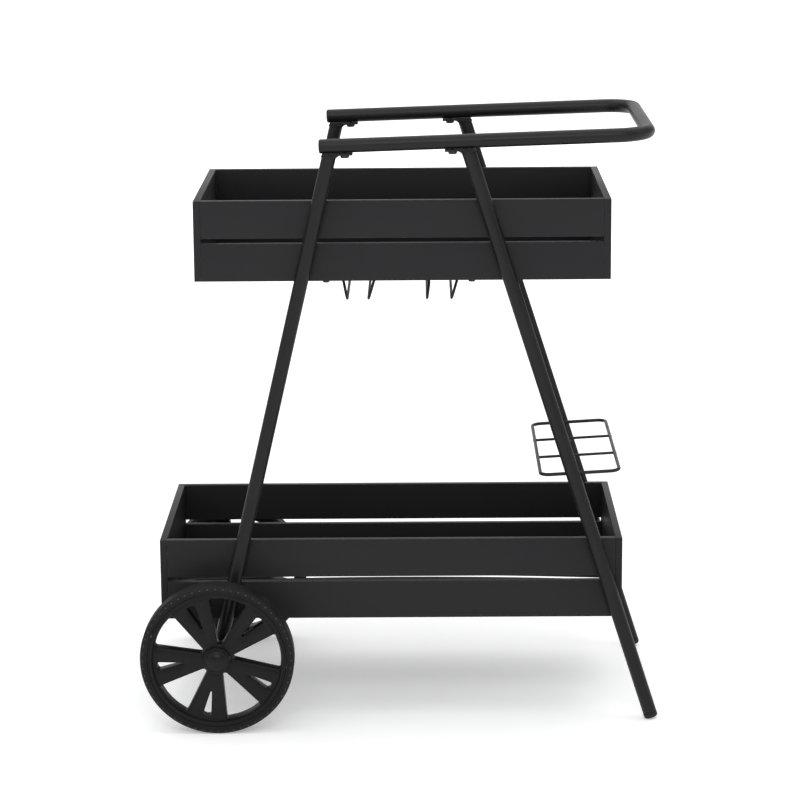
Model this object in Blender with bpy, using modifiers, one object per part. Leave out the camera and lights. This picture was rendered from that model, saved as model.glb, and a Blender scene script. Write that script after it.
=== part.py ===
"""Bar cart on two fixed wheels: a tube frame, two slotted trays, a bottle rack and a stemware rack.

X runs along the cart, from the wheels to the push end, Y across it and Z up, in metres.
The floor is Z = 0 and the origin is under the middle of the cart.
"""

import math

import bmesh
import bpy
from mathutils import Matrix, Vector

# Overall sizes
CART_LENGTH = 0.746
LEG_SPREAD = 0.346
GAP = 0.0003

# Tube frame
TUBE_RADIUS = 0.010
TUBE_WALL = 0.0015
TUBE_SIDES = 20
HANDLE_HEIGHT = 0.8429
HANDLE_RISE = math.radians(1.75)
HANDLE_LEFT = -0.107
HANDLE_RIGHT = 0.363
HANDLE_BEND = 0.045
WHEEL_LEG_TOP = -0.0947
WHEEL_LEG_TAIL = 0.018
FOOT_LEAN = math.radians(17.65)
TOP_CUT = (0.1, 0.1, 0.06)

# Saddle plates and their screws
SADDLE_THICKNESS = 0.003
SADDLE_WIDTH = 0.018
SADDLE_REACH = 0.030
SADDLE_HEEL = 0.010
SADDLE_SCREW_OFFSET = 0.022

# Screws
SCREW_RADIUS = 0.002
SCREW_HOLE_RADIUS = 0.0024
SCREW_HEAD_RADIUS = 0.005
SCREW_HEAD_HEIGHT = 0.0028
SCREW_SIDES = 12
SADDLE_SCREW_HEAD_RADIUS = 0.0062
SADDLE_SCREW_HEAD_HEIGHT = 0.0042
SCREW_BITE = 0.006
SCREW_EDGE_SHARE = 0.35

# How far a cutter runs past what it cuts, and a welded wire into what it joins
HOLE_OVERRUN = 0.002
BORE_OVERRUN = 0.010
WELD_OVERLAP = 0.0004

# End plugs and foot caps
PLUG_LENGTH = 0.012
PLUG_HEAD = 0.002
FOOT_CAP_LENGTH = 0.007
FOOT_CAP_ROUND = 0.002

# Wheels and axle
TYRE_RADIUS = 0.1105
TYRE_WIDTH = 0.034
TYRE_ROUND = 0.006
RIM_RADIUS = 0.0995
RIM_WIDTH = 0.032
RIM_WALL = 0.0075
RIM_FILLET = 0.004
RIM_EDGE = 0.001
SPOKE_DEPTH = 0.022
HUB_RADIUS = 0.0195
HUB_WIDTH = 0.040
HUB_EDGE = 0.002
WHEEL_STEPS = 48
SPOKE_PAIRS = 5
WINDOW_TURN = math.radians(7)
WINDOW_HALF_ANGLE = math.radians(17)
WINDOW_APEX = 0.0235
WINDOW_TIP_HALF_ANGLE = math.radians(7)
SLOT_APEX = 0.050
SLOT_OUTER = 0.0865
SLOT_HALF_WIDTH = 0.0065
SLOT_TIP_HALF_ANGLE = 0.01
AXLE_RADIUS = 0.005
AXLE_CLEARANCE = 0.00025
AXLE_CAP_RADIUS = 0.017
AXLE_CAP_HEIGHT = 0.008
AXLE_CAP_DOME = ((0.35, 0.95), (0.65, 0.80), (0.88, 0.52), (1.0, 0.18), (1.0, 0.0))
AXLE_STEPS = 24
SPACER_RADIUS = 0.011
SPACER_THICKNESS = 0.0144

# Trays
BOARD = 0.010
SLOT_HEIGHT = 0.0072
BOARD_EDGE = 0.0008
TOP_TRAY = {
    "name": "top",
    "left": -0.2871,
    "right": 0.3005,
    "bottom": 0.6475,
    "lower_board": 0.0537,
    "upper_board": 0.0536,
    "floor_raise": 0.0005,
    "screwed_board": "lower",
    "crown": 0.0,
}
BOTTOM_TRAY = {
    "name": "bottom",
    "left": -0.3463,
    "right": 0.3205,
    "bottom": 0.1515,
    "lower_board": 0.0550,
    "upper_board": 0.0556,
    "floor_raise": 0.008,
    "screwed_board": "upper",
    "crown": 0.006,
}
FLOOR_SHEET = 0.001
FLOOR_GAP = 0.010
CROWN_STEPS = 12

# Bottle rack
RACK_HEIGHT = 0.3653
RACK_LENGTH = 0.1130
RACK_SET_OUT = 0.0107
RACK_TILT = math.radians(3.2)
RACK_WIRE = 0.0025
RACK_CROSS_WIRE = 0.002
RACK_CORNER = 0.014
WIRE_SIDES = 10
RACK_CELLS = 3
RACK_TAB_WIDTH = 0.012
RACK_TAB_THICKNESS = 0.002
RACK_TAB_DROP = 0.038
RACK_SCREW_DROP = 0.031

# Stemware rack
STEM_WIRE = 0.002
STEM_RAILS = (-0.0722, -0.0420, 0.0412, 0.0760)
STEM_DROP = 0.031
STEM_NEAR_INSET = 0.0227
STEM_FAR_INSET = 0.0347
STEM_NEAR_RUN = 0.010
STEM_FAR_RUN = 0.008
STEM_FLARE = 0.030
STEM_SCREWS = (-0.102, 0.105)
STEM_SPLAY = (-0.006, 0.009, 0.004, 0.009)
STEM_BEND = 0.007
STEM_SCREW_HEAD_RADIUS = 0.0065

# Worked out from the sizes above
LEG_Y = LEG_SPREAD / 2
HALF_LENGTH = CART_LENGTH / 2
AXLE_X = TYRE_RADIUS - HALF_LENGTH
AXLE_Z = TYRE_RADIUS
TRAY_HALF_DEPTH = LEG_Y - TUBE_RADIUS - GAP
BORE_RADIUS = TUBE_RADIUS - TUBE_WALL
PLUG_RADIUS = BORE_RADIUS - GAP
WHEEL_Y = LEG_Y + TUBE_RADIUS + SPACER_THICKNESS + 2 * GAP + HUB_WIDTH / 2
HANDLE_NORMAL = Vector((-math.sin(HANDLE_RISE), 0, math.cos(HANDLE_RISE)))
HANDLE_ALONG = Vector((math.cos(HANDLE_RISE), 0, math.sin(HANDLE_RISE)))
HANDLE_CENTRE = Vector((0, 0, HANDLE_HEIGHT))
SADDLE_TOP = -TUBE_RADIUS - GAP
LEG_TOP_DROP = -SADDLE_TOP + SADDLE_THICKNESS + GAP
SIDES = {"near": -1, "far": 1}

FOOT_DOWN = Vector((math.sin(FOOT_LEAN), 0, -math.cos(FOOT_LEAN)))
FOOT_FLAT = TUBE_RADIUS - FOOT_CAP_ROUND
FOOT_END_X = HALF_LENGTH - FOOT_CAP_ROUND - FOOT_FLAT * math.cos(FOOT_LEAN)
FOOT_END_X += FOOT_CAP_ROUND * math.sin(FOOT_LEAN)
FOOT_END_Z = FOOT_FLAT * math.sin(FOOT_LEAN) + FOOT_CAP_ROUND * (1 - math.cos(FOOT_LEAN))
FOOT_END = Vector((FOOT_END_X, 0, FOOT_END_Z))
WHEEL_LEG_FOOT = Vector((AXLE_X, 0, AXLE_Z))
WHEEL_LEG_HEAD = HANDLE_CENTRE + HANDLE_ALONG * WHEEL_LEG_TOP - HANDLE_NORMAL * LEG_TOP_DROP
WHEEL_DOWN = (WHEEL_LEG_FOOT - WHEEL_LEG_HEAD).normalized()


def where_line_meets_handle(point, down):
    """The point where a leg's axis reaches the plane of the leg tops, and its place along the handle."""
    on_plane = HANDLE_CENTRE - HANDLE_NORMAL * LEG_TOP_DROP
    climb = (on_plane - point).dot(HANDLE_NORMAL) / (-down).dot(HANDLE_NORMAL)
    head = point - down * climb
    return head, (head - on_plane).dot(HANDLE_ALONG)


FOOT_LEG_HEAD, FOOT_LEG_TOP = where_line_meets_handle(FOOT_END, FOOT_DOWN)
LEG_LINES = {"wheel": (WHEEL_LEG_HEAD, WHEEL_DOWN), "foot": (FOOT_LEG_HEAD, FOOT_DOWN)}


def leg_x(head, down, height):
    """Where a leg's axis is along X at this height."""
    return head.x + down.x * (height - head.z) / down.z


RACK_CENTRE = leg_x(FOOT_LEG_HEAD, FOOT_DOWN, RACK_HEIGHT) + RACK_SET_OUT


def clear_scene():
    for old in list(bpy.data.objects):
        bpy.data.objects.remove(old, do_unlink=True)


def new_collection(name):
    made = bpy.data.collections.new(name)
    bpy.context.scene.collection.children.link(made)
    return made


def material(name, colour, roughness, metallic):
    made = bpy.data.materials.new(name)
    made.use_nodes = True
    made.diffuse_color = (*colour, 1)
    shader = made.node_tree.nodes["Principled BSDF"]
    shader.inputs["Base Color"].default_value = (*colour, 1)
    shader.inputs["Roughness"].default_value = roughness
    shader.inputs["Metallic"].default_value = metallic
    return made


def link(name, data, look, where=None):
    made = bpy.data.objects.new(name, data)
    if look:
        data.materials.append(look)
    (where or PARTS).objects.link(made)
    return made


def from_bmesh(name, shape, look, where=None, smooth=True):
    data = bpy.data.meshes.new(name)
    bmesh.ops.recalc_face_normals(shape, faces=shape.faces)
    shape.to_mesh(data)
    shape.free()
    if smooth:
        data.shade_smooth()
        data.set_sharp_from_angle(angle=math.radians(35))
    return link(name, data, look, where)


def box(name, low, high, look, bevel=0.0):
    """A board or plate between two corners, its edges broken by a small bevel."""
    low, high = Vector(low), Vector(high)
    shape = bmesh.new()
    bmesh.ops.create_cube(shape, size=1)
    bmesh.ops.scale(shape, vec=high - low, verts=shape.verts)
    bmesh.ops.translate(shape, vec=(low + high) / 2, verts=shape.verts)
    made = from_bmesh(name, shape, look, smooth=False)
    if bevel:
        modifier = made.modifiers.new("edges", "BEVEL")
        modifier.width = bevel
        modifier.segments = 1
    return made


def rod_shape(start, end, radius, sides):
    """A closed cylinder between two points, in a new bmesh."""
    start, end = Vector(start), Vector(end)
    turn = (end - start).to_track_quat("Z", "Y").to_matrix().to_4x4()
    shape = bmesh.new()
    bmesh.ops.create_cone(
        shape,
        cap_ends=True,
        segments=sides,
        radius1=radius,
        radius2=radius,
        depth=(end - start).length,
        matrix=Matrix.Translation((start + end) / 2) @ turn,
    )
    return shape


def cutter(name, shape):
    made = from_bmesh(name, shape, None, CUTTERS, smooth=False)
    made.display_type = "WIRE"
    return made


def hole(name, start, end, radius, sides=SCREW_SIDES):
    return cutter(name, rod_shape(start, end, radius, sides))


def cut(piece, tool, operation="DIFFERENCE"):
    modifier = piece.modifiers.new(tool.name, "BOOLEAN")
    modifier.operation = operation
    modifier.solver = "EXACT"
    modifier.object = tool
    return piece


def turned(name, profile, look, steps=AXLE_STEPS):
    """A solid of revolution about Z, from (radius, height) pairs running down its outer side."""
    data = bpy.data.meshes.new(name)
    points = [(radius, 0, height) for radius, height in profile]
    closed = profile[0][0] > 0
    edges = [(i, i + 1) for i in range(len(points) - 1)]
    if closed:
        edges.append((len(points) - 1, 0))
    data.from_pydata(points, edges, [])
    made = link(name, data, look)
    modifier = made.modifiers.new("turn", "SCREW")
    modifier.axis = "Z"
    modifier.steps = steps
    modifier.render_steps = steps
    modifier.use_merge_vertices = True
    modifier.merge_threshold = 0.00001
    modifier.use_smooth_shade = True
    return made


def place(piece, location, direction):
    """Stands a piece turned about Z on a point, with its top pointing along a direction."""
    piece.location = location
    piece.rotation_mode = "QUATERNION"
    piece.rotation_quaternion = Vector(direction).to_track_quat("Z", "Y")
    return piece


def arc(centre, radius, first, last, steps):
    """Points of a round stretch, as (across, up) pairs, from one angle to another."""
    turns = [first + (last - first) * i / steps for i in range(steps + 1)]
    return [(centre[0] + radius * math.cos(t), centre[1] + radius * math.sin(t)) for t in turns]


def rounded_path(points, radius, cyclic=False, steps=3):
    """The same route with each corner replaced by an arc tangent to both of its sides."""
    points = [Vector(p) for p in points]
    made = []
    for i, corner in enumerate(points):
        if not cyclic and i in (0, len(points) - 1):
            made.append(corner)
            continue
        back = (points[i - 1] - corner).normalized()
        ahead = (points[(i + 1) % len(points)] - corner).normalized()
        half = back.angle(ahead) / 2
        reach = radius / math.tan(half)
        centre = corner + (back + ahead).normalized() * (radius / math.sin(half))
        first = (corner + back * reach - centre).normalized()
        last = (corner + ahead * reach - centre).normalized()
        for step in range(steps + 1):
            made.append(centre + first.slerp(last, step / steps) * radius)
    return made


def tube_curve(name, points, radius, sides, cyclic=False, caps=True):
    data = bpy.data.curves.new(name, "CURVE")
    data.dimensions = "3D"
    data.bevel_depth = radius
    data.bevel_resolution = (sides - 4) // 2
    data.use_fill_caps = caps
    spline = data.splines.new("POLY")
    spline.points.add(len(points) - 1)
    for point, place_at in zip(spline.points, points):
        point.co = (*place_at, 1)
    spline.use_cyclic_u = cyclic
    return data


def mesh_of_curve(name, data, look, where=None):
    """The curve's own surface as a mesh piece, so that it can be cut and joined."""
    source = bpy.data.objects.new(name + "_path", data)
    bpy.context.scene.collection.objects.link(source)
    bpy.context.view_layer.update()
    graph = bpy.context.evaluated_depsgraph_get()
    made_mesh = bpy.data.meshes.new_from_object(source.evaluated_get(graph))
    bpy.data.objects.remove(source, do_unlink=True)
    shape = bmesh.new()
    shape.from_mesh(made_mesh)
    bmesh.ops.remove_doubles(shape, verts=shape.verts, dist=0.00001)
    return from_bmesh(name, shape, look, where)


def screw(name, head_point, direction, length, head=(SCREW_HEAD_RADIUS, SCREW_HEAD_HEIGHT)):
    """A pan-head screw: head_point is the middle of the head's underside, direction runs down the shank."""
    head_radius, head_height = head
    edge = head_height * SCREW_EDGE_SHARE
    profile = [
        (0, head_height),
        (head_radius - edge, head_height),
        (head_radius, head_height - edge),
        (head_radius, 0),
        (SCREW_RADIUS, 0),
        (SCREW_RADIUS, -length),
        (0, -length),
    ]
    made = turned(name, profile, SCREW_BLACK, steps=SCREW_SIDES)
    return place(made, head_point, -Vector(direction))


clear_scene()
PARTS = new_collection("bar_cart")
CUTTERS = new_collection("cutters")
CUTTERS.hide_render = True

FRAME_BLACK = material("frame_powder_coat", (0.030, 0.029, 0.029), 0.45, 0.0)
BOARD_BLACK = material("board_paint", (0.026, 0.026, 0.027), 0.55, 0.0)
FLOOR_BLACK = material("floor_sheet_paint", (0.022, 0.022, 0.022), 0.5, 0.0)
WIRE_BLACK = material("wire_powder_coat", (0.025, 0.025, 0.025), 0.45, 0.0)
SCREW_BLACK = material("screw_black", (0.020, 0.020, 0.020), 0.35, 1.0)
PLASTIC_BLACK = material("plastic_black", (0.022, 0.021, 0.021), 0.5, 0.0)
RIM_BLACK = material("rim_plastic", (0.026, 0.025, 0.026), 0.5, 0.0)
TYRE_BLACK = material("tyre_rubber", (0.024, 0.024, 0.024), 0.7, 0.0)
AXLE_STEEL = material("axle_steel", (0.45, 0.45, 0.46), 0.35, 1.0)


# Push handle. Everything on it is placed in its own sloping plane, through an empty.
handle_plane = bpy.data.objects.new("handle_plane", None)
PARTS.objects.link(handle_plane)
handle_plane.location = HANDLE_CENTRE
handle_plane.rotation_euler = (0, -HANDLE_RISE, 0)


def push_handle():
    right = HANDLE_RIGHT - TUBE_RADIUS
    route = [
        (HANDLE_LEFT, -LEG_Y, 0),
        (right, -LEG_Y, 0),
        (right, LEG_Y, 0),
        (HANDLE_LEFT, LEG_Y, 0),
    ]
    path = rounded_path(route, HANDLE_BEND, steps=7)
    data = tube_curve("push_handle", path, TUBE_RADIUS, 16, caps=False)
    made = mesh_of_curve("push_handle", data, FRAME_BLACK)
    wall = made.modifiers.new("wall", "SOLIDIFY")
    wall.thickness = TUBE_WALL
    wall.offset = -1
    wall.use_even_offset = True
    made.parent = handle_plane
    return made


def handle_plug(side):
    """A plug pushed into the open end, its head as wide as the tube."""
    profile = [
        (0, PLUG_HEAD),
        (TUBE_RADIUS - PLUG_HEAD / 2, PLUG_HEAD),
        (TUBE_RADIUS, PLUG_HEAD / 2),
        (TUBE_RADIUS, 0),
        (PLUG_RADIUS, 0),
        (PLUG_RADIUS, -PLUG_LENGTH),
        (0, -PLUG_LENGTH),
    ]
    made = turned("handle_plug_" + side, profile, PLASTIC_BLACK, steps=16)
    place(made, (HANDLE_LEFT - GAP, SIDES[side] * LEG_Y, 0), (-1, 0, 0))
    made.parent = handle_plane


def saddle(leg, side, along, toward, handle):
    """The plate on a leg's top, reaching along the handle, and the screw from below it into the tube."""
    y = SIDES[side] * LEG_Y
    ends = sorted((along - toward * SADDLE_HEEL, along + toward * SADDLE_REACH))
    low = (ends[0], y - SADDLE_WIDTH / 2, SADDLE_TOP - SADDLE_THICKNESS)
    high = (ends[1], y + SADDLE_WIDTH / 2, SADDLE_TOP)
    plate = box(f"saddle_{leg}_{side}", low, high, FRAME_BLACK, BOARD_EDGE)
    screw_x = along + toward * SADDLE_SCREW_OFFSET
    under = SADDLE_TOP - SADDLE_THICKNESS - GAP
    inside = -TUBE_RADIUS + TUBE_WALL + SCREW_BITE
    way_start = (screw_x, y, under - HOLE_OVERRUN)
    way = hole(f"saddle_hole_{leg}_{side}", way_start, (screw_x, y, 0), SCREW_HOLE_RADIUS)
    fixing = screw(
        f"handle_screw_{leg}_{side}",
        (screw_x, y, under),
        (0, 0, 1),
        inside - under,
        (SADDLE_SCREW_HEAD_RADIUS, SADDLE_SCREW_HEAD_HEIGHT),
    )
    for piece in (plate, way, fixing):
        piece.parent = handle_plane
    cut(plate, way)
    cut(handle, way)


# Legs: tubes cut off along the saddles at the top, bored right through, with holes for the axle and screws.
def leg(name, side, head, down, end):
    y = SIDES[side] * LEG_Y
    start = head - down * 2 * TUBE_RADIUS
    offset = Vector((0, y, 0))
    shape = rod_shape(start + offset, end + offset, TUBE_RADIUS, TUBE_SIDES)
    made = from_bmesh(name, shape, FRAME_BLACK)
    overrun = down * BORE_OVERRUN
    bore = hole(name + "_bore", start + offset - overrun, end + offset + overrun, BORE_RADIUS, TUBE_SIDES)
    cut(made, bore)
    shape = bmesh.new()
    bmesh.ops.create_cube(shape, size=1)
    bmesh.ops.scale(shape, vec=TOP_CUT, verts=shape.verts)
    top_cut = cutter(name + "_top", shape)
    top_cut.location = head + offset + HANDLE_NORMAL * TOP_CUT[2] / 2
    top_cut.rotation_euler = (0, -HANDLE_RISE, 0)
    cut(made, top_cut)
    return made


def foot_cap(side):
    """A plug in the leg's lower end with a rounded head that stands on the floor."""
    head = FOOT_CAP_LENGTH
    rounding = arc((TUBE_RADIUS - FOOT_CAP_ROUND, head - FOOT_CAP_ROUND), FOOT_CAP_ROUND, math.pi / 2, 0, 4)
    profile = [(0, head)] + rounding + [
        (TUBE_RADIUS, 0),
        (PLUG_RADIUS, 0),
        (PLUG_RADIUS, -PLUG_LENGTH),
        (0, -PLUG_LENGTH),
    ]
    made = turned("foot_cap_" + side, profile, PLASTIC_BLACK, steps=TUBE_SIDES)
    offset = Vector((0, SIDES[side] * LEG_Y, 0))
    place(made, FOOT_END + offset - FOOT_DOWN * head, FOOT_DOWN)


# Wheels: a rubber tyre on a moulded rim whose five pairs of spokes leave five wide windows and five slots.
def window_outlines(turn):
    """The outlines cut through the spoke disc, as lists of (x, z) about the axle."""
    outlines = []
    step = 2 * math.pi / SPOKE_PAIRS
    outer = RIM_RADIUS - RIM_WALL
    for i in range(SPOKE_PAIRS):
        middle = turn + i * step
        far = arc((0, 0), outer, middle - WINDOW_HALF_ANGLE, middle + WINDOW_HALF_ANGLE, 6)
        tip = WINDOW_TIP_HALF_ANGLE
        near = arc((0, 0), WINDOW_APEX, middle + tip, middle - tip, 2)
        outlines.append(far + near)
        middle += step / 2
        spread = SLOT_HALF_WIDTH / SLOT_OUTER
        far = arc((0, 0), SLOT_OUTER, middle - spread, middle + spread, 2)
        tip = SLOT_TIP_HALF_ANGLE
        outlines.append(far + arc((0, 0), SLOT_APEX, middle + tip, middle - tip, 1))
    return outlines


def wheel(side):
    """The rim and tyre, both made about Z and laid with their outer faces away from the cart."""
    outward = Vector((0, SIDES[side], 0))
    centre = Vector((AXLE_X, SIDES[side] * WHEEL_Y, AXLE_Z))
    bore = AXLE_RADIUS + AXLE_CLEARANCE
    rim_inner = RIM_RADIUS - RIM_WALL
    hub, half, disc = HUB_WIDTH / 2, RIM_WIDTH / 2, SPOKE_DEPTH / 2
    rim_profile = [
        (bore, hub),
        (HUB_RADIUS - HUB_EDGE, hub),
        (HUB_RADIUS, hub - HUB_EDGE),
        (HUB_RADIUS + RIM_EDGE, disc),
        (rim_inner - RIM_FILLET, disc),
        (rim_inner, half - RIM_EDGE),
        (rim_inner + RIM_EDGE, half),
        (RIM_RADIUS, half),
        (RIM_RADIUS, -half),
        (rim_inner + RIM_EDGE, -half),
        (rim_inner, RIM_EDGE - half),
        (rim_inner - RIM_FILLET, -disc),
        (HUB_RADIUS + RIM_EDGE, -disc),
        (HUB_RADIUS, -hub),
        (bore, -hub),
    ]
    rim = turned("wheel_rim_" + side, rim_profile, RIM_BLACK, steps=WHEEL_STEPS)
    data = bpy.data.curves.new("windows_" + side, "CURVE")
    data.dimensions = "2D"
    data.fill_mode = "BOTH"
    data.extrude = HUB_WIDTH
    for outline in window_outlines(-SIDES[side] * WINDOW_TURN):
        spline = data.splines.new("POLY")
        spline.points.add(len(outline) - 1)
        for point, (x, z) in zip(spline.points, outline):
            point.co = (x, z, 0, 1)
        spline.use_cyclic_u = True
    windows = mesh_of_curve("windows_" + side, data, None, CUTTERS)
    windows.display_type = "WIRE"
    windows.parent = rim
    cut(rim, windows)

    tyre_inner = RIM_RADIUS + GAP
    half_tyre = TYRE_WIDTH / 2
    flat = half_tyre - TYRE_ROUND
    shoulder = TYRE_RADIUS - TYRE_ROUND
    tyre_profile = (
        [(tyre_inner, half_tyre)]
        + arc((shoulder, flat), TYRE_ROUND, math.pi / 2, 0, 4)
        + arc((shoulder, -flat), TYRE_ROUND, 0, -math.pi / 2, 4)
        + [(tyre_inner, -half_tyre)]
    )
    tyre = turned("wheel_tyre_" + side, tyre_profile, TYRE_BLACK, steps=WHEEL_STEPS)
    for piece in (rim, tyre):
        lay_wheel(piece, centre, outward)


def lay_wheel(piece, centre, outward):
    """Lays a piece made about Z on its axle, keeping its own X axis along the cart."""
    across = Vector((1, 0, 0))
    up = outward.cross(across)
    turn = Matrix((across, up, outward)).transposed().to_4x4()
    piece.matrix_world = Matrix.Translation(centre) @ turn


def axle():
    reach = WHEEL_Y + HUB_WIDTH / 2 + AXLE_CAP_HEIGHT / 2
    shape = rod_shape((AXLE_X, -reach, AXLE_Z), (AXLE_X, reach, AXLE_Z), AXLE_RADIUS, AXLE_STEPS)
    from_bmesh("axle", shape, AXLE_STEEL)


def axle_fittings(side):
    """The sleeve between leg and hub, and the domed cap pushed onto the axle's end outside the hub."""
    outward = Vector((0, SIDES[side], 0))
    inner = AXLE_RADIUS + GAP
    half = SPACER_THICKNESS / 2
    ring = [(inner, half), (SPACER_RADIUS, half), (SPACER_RADIUS, -half), (inner, -half)]
    spacer = turned("axle_spacer_" + side, ring, PLASTIC_BLACK)
    lay_wheel(spacer, WHEEL_LEG_FOOT + outward * (LEG_Y + TUBE_RADIUS + GAP + half), outward)
    socket = AXLE_CAP_HEIGHT / 2 + GAP
    dome = [(AXLE_CAP_RADIUS * across, AXLE_CAP_HEIGHT * up) for across, up in AXLE_CAP_DOME]
    profile = [(0, AXLE_CAP_HEIGHT)] + dome + [(inner, 0), (inner, socket), (0, socket)]
    cap = turned("axle_cap_" + side, profile, PLASTIC_BLACK)
    lay_wheel(cap, WHEEL_LEG_FOOT + outward * (WHEEL_Y + HUB_WIDTH / 2 + GAP), outward)


# Trays: solid end boards, two boards with a slot between them on each long side, and two thin floor sheets.
def tray(sizes):
    name = sizes["name"]
    left, right = sizes["left"], sizes["right"]
    bottom = sizes["bottom"]
    lower_top = bottom + sizes["lower_board"]
    upper_bottom = lower_top + SLOT_HEIGHT
    top = upper_bottom + sizes["upper_board"]
    depth = TRAY_HALF_DEPTH
    box(f"{name}_left_end", (left, -depth, bottom), (left + BOARD, depth, top), BOARD_BLACK, BOARD_EDGE)
    box(f"{name}_right_end", (right - BOARD, -depth, bottom), (right, depth, top), BOARD_BLACK, BOARD_EDGE)
    first, last = left + BOARD + GAP, right - BOARD - GAP
    board_middles = {"lower": (bottom + lower_top) / 2, "upper": (upper_bottom + top) / 2}
    screw_height = board_middles[sizes["screwed_board"]]
    for side, sign in SIDES.items():
        ys = sorted((sign * depth, sign * (depth - BOARD)))
        tag = f"{name}_{side}"
        boards = {}
        for board, (low, high) in {"lower": (bottom, lower_top), "upper": (upper_bottom, top)}.items():
            ends = (first, ys[0], low), (last, ys[1], high)
            boards[board] = box(f"{tag}_{board}_board", *ends, BOARD_BLACK, BOARD_EDGE)
        for kind, (head, down) in LEG_LINES.items():
            x = leg_x(head, down, screw_height)
            inside = Vector((x, sign * (depth - BOARD - GAP), screw_height))
            outward = Vector((0, sign, 0))
            tag = f"{name}_tray_screw_{kind}_{side}"
            screw(tag, inside, outward, BOARD + 2 * GAP + TUBE_WALL + SCREW_BITE)
            way_start = inside - outward * HOLE_OVERRUN
            way = hole(tag + "_way", way_start, (x, sign * LEG_Y, screw_height), SCREW_HOLE_RADIUS)
            cut(boards[sizes["screwed_board"]], way)
            cut(LEGS[kind, side], way)
        floor_height = bottom + sizes["floor_raise"]
        floor_sheet(f"{name}_{side}_floor", first, last, sign, floor_height, sizes["crown"])


def floor_sheet(name, first, last, sign, height, crown):
    """One half of the floor: a thin sheet, bowed up along the tray by its crown."""
    ys = (sign * FLOOR_GAP / 2, sign * (TRAY_HALF_DEPTH - BOARD - GAP))
    shape = bmesh.new()
    bmesh.ops.create_grid(shape, x_segments=CROWN_STEPS if crown else 1, y_segments=1, size=0.5)
    bmesh.ops.scale(shape, vec=(last - first, abs(ys[1] - ys[0]), 1), verts=shape.verts)
    for vertex in shape.verts:
        along = 2 * vertex.co.x / (last - first)
        vertex.co.z = crown * (1 - along * along)
    bmesh.ops.translate(shape, vec=((first + last) / 2, sum(ys) / 2, height), verts=shape.verts)
    made = from_bmesh(name, shape, FLOOR_BLACK)
    sheet = made.modifiers.new("sheet", "SOLIDIFY")
    sheet.thickness = FLOOR_SHEET
    sheet.offset = 1
    return made


# Bottle rack: a welded wire grid between the foot legs, screwed to them through two tabs.
def bottle_rack():
    half_y = LEG_Y - TUBE_RADIUS - GAP - RACK_TAB_THICKNESS - RACK_WIRE + WELD_OVERLAP
    low, high = RACK_CENTRE - RACK_LENGTH / 2, RACK_CENTRE + RACK_LENGTH / 2

    def on_rack(x, y):
        return Vector((x, y, RACK_HEIGHT + (x - RACK_CENTRE) * math.tan(RACK_TILT)))

    corners = [on_rack(low, -half_y), on_rack(high, -half_y), on_rack(high, half_y), on_rack(low, half_y)]
    path = rounded_path(corners, RACK_CORNER, cyclic=True)
    ring = tube_curve("bottle_rack", path, RACK_WIRE, WIRE_SIDES, cyclic=True)
    rack = mesh_of_curve("bottle_rack", ring, WIRE_BLACK)
    for i in range(1, RACK_CELLS):
        y = -half_y + i * 2 * half_y / RACK_CELLS
        bar = rod_shape(on_rack(low, y), on_rack(high, y), RACK_CROSS_WIRE, WIRE_SIDES)
        cut(rack, cutter(f"rack_cross_wire_{i}", bar), "UNION")
    for side, sign in SIDES.items():
        x = leg_x(FOOT_LEG_HEAD, FOOT_DOWN, RACK_HEIGHT)
        hang = on_rack(x, sign * (LEG_Y - TUBE_RADIUS - GAP - RACK_TAB_THICKNESS / 2))
        shape = bmesh.new()
        bmesh.ops.create_cube(shape, size=1)
        drop = RACK_TAB_DROP + RACK_WIRE
        bmesh.ops.scale(shape, vec=(RACK_TAB_WIDTH, RACK_TAB_THICKNESS, drop), verts=shape.verts)
        bmesh.ops.translate(shape, vec=(0, 0, RACK_WIRE - drop / 2), verts=shape.verts)
        tab = cutter(f"rack_tab_{side}", shape)
        tab.location = hang
        tab.rotation_euler = (0, -FOOT_LEAN, 0)
        cut(rack, tab, "UNION")
        outward = Vector((0, sign, 0))
        middle = hang + FOOT_DOWN * RACK_SCREW_DROP
        inside = middle - outward * (RACK_TAB_THICKNESS / 2 + GAP)
        tag = f"rack_screw_{side}"
        screw(tag, inside, outward, RACK_TAB_THICKNESS + 2 * GAP + TUBE_WALL + SCREW_BITE)
        way_start = inside - outward * HOLE_OVERRUN
        way = hole(tag + "_way", way_start, middle + outward * TUBE_RADIUS, SCREW_HOLE_RADIUS)
        cut(rack, way)
        cut(LEGS["foot", side], way)


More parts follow.
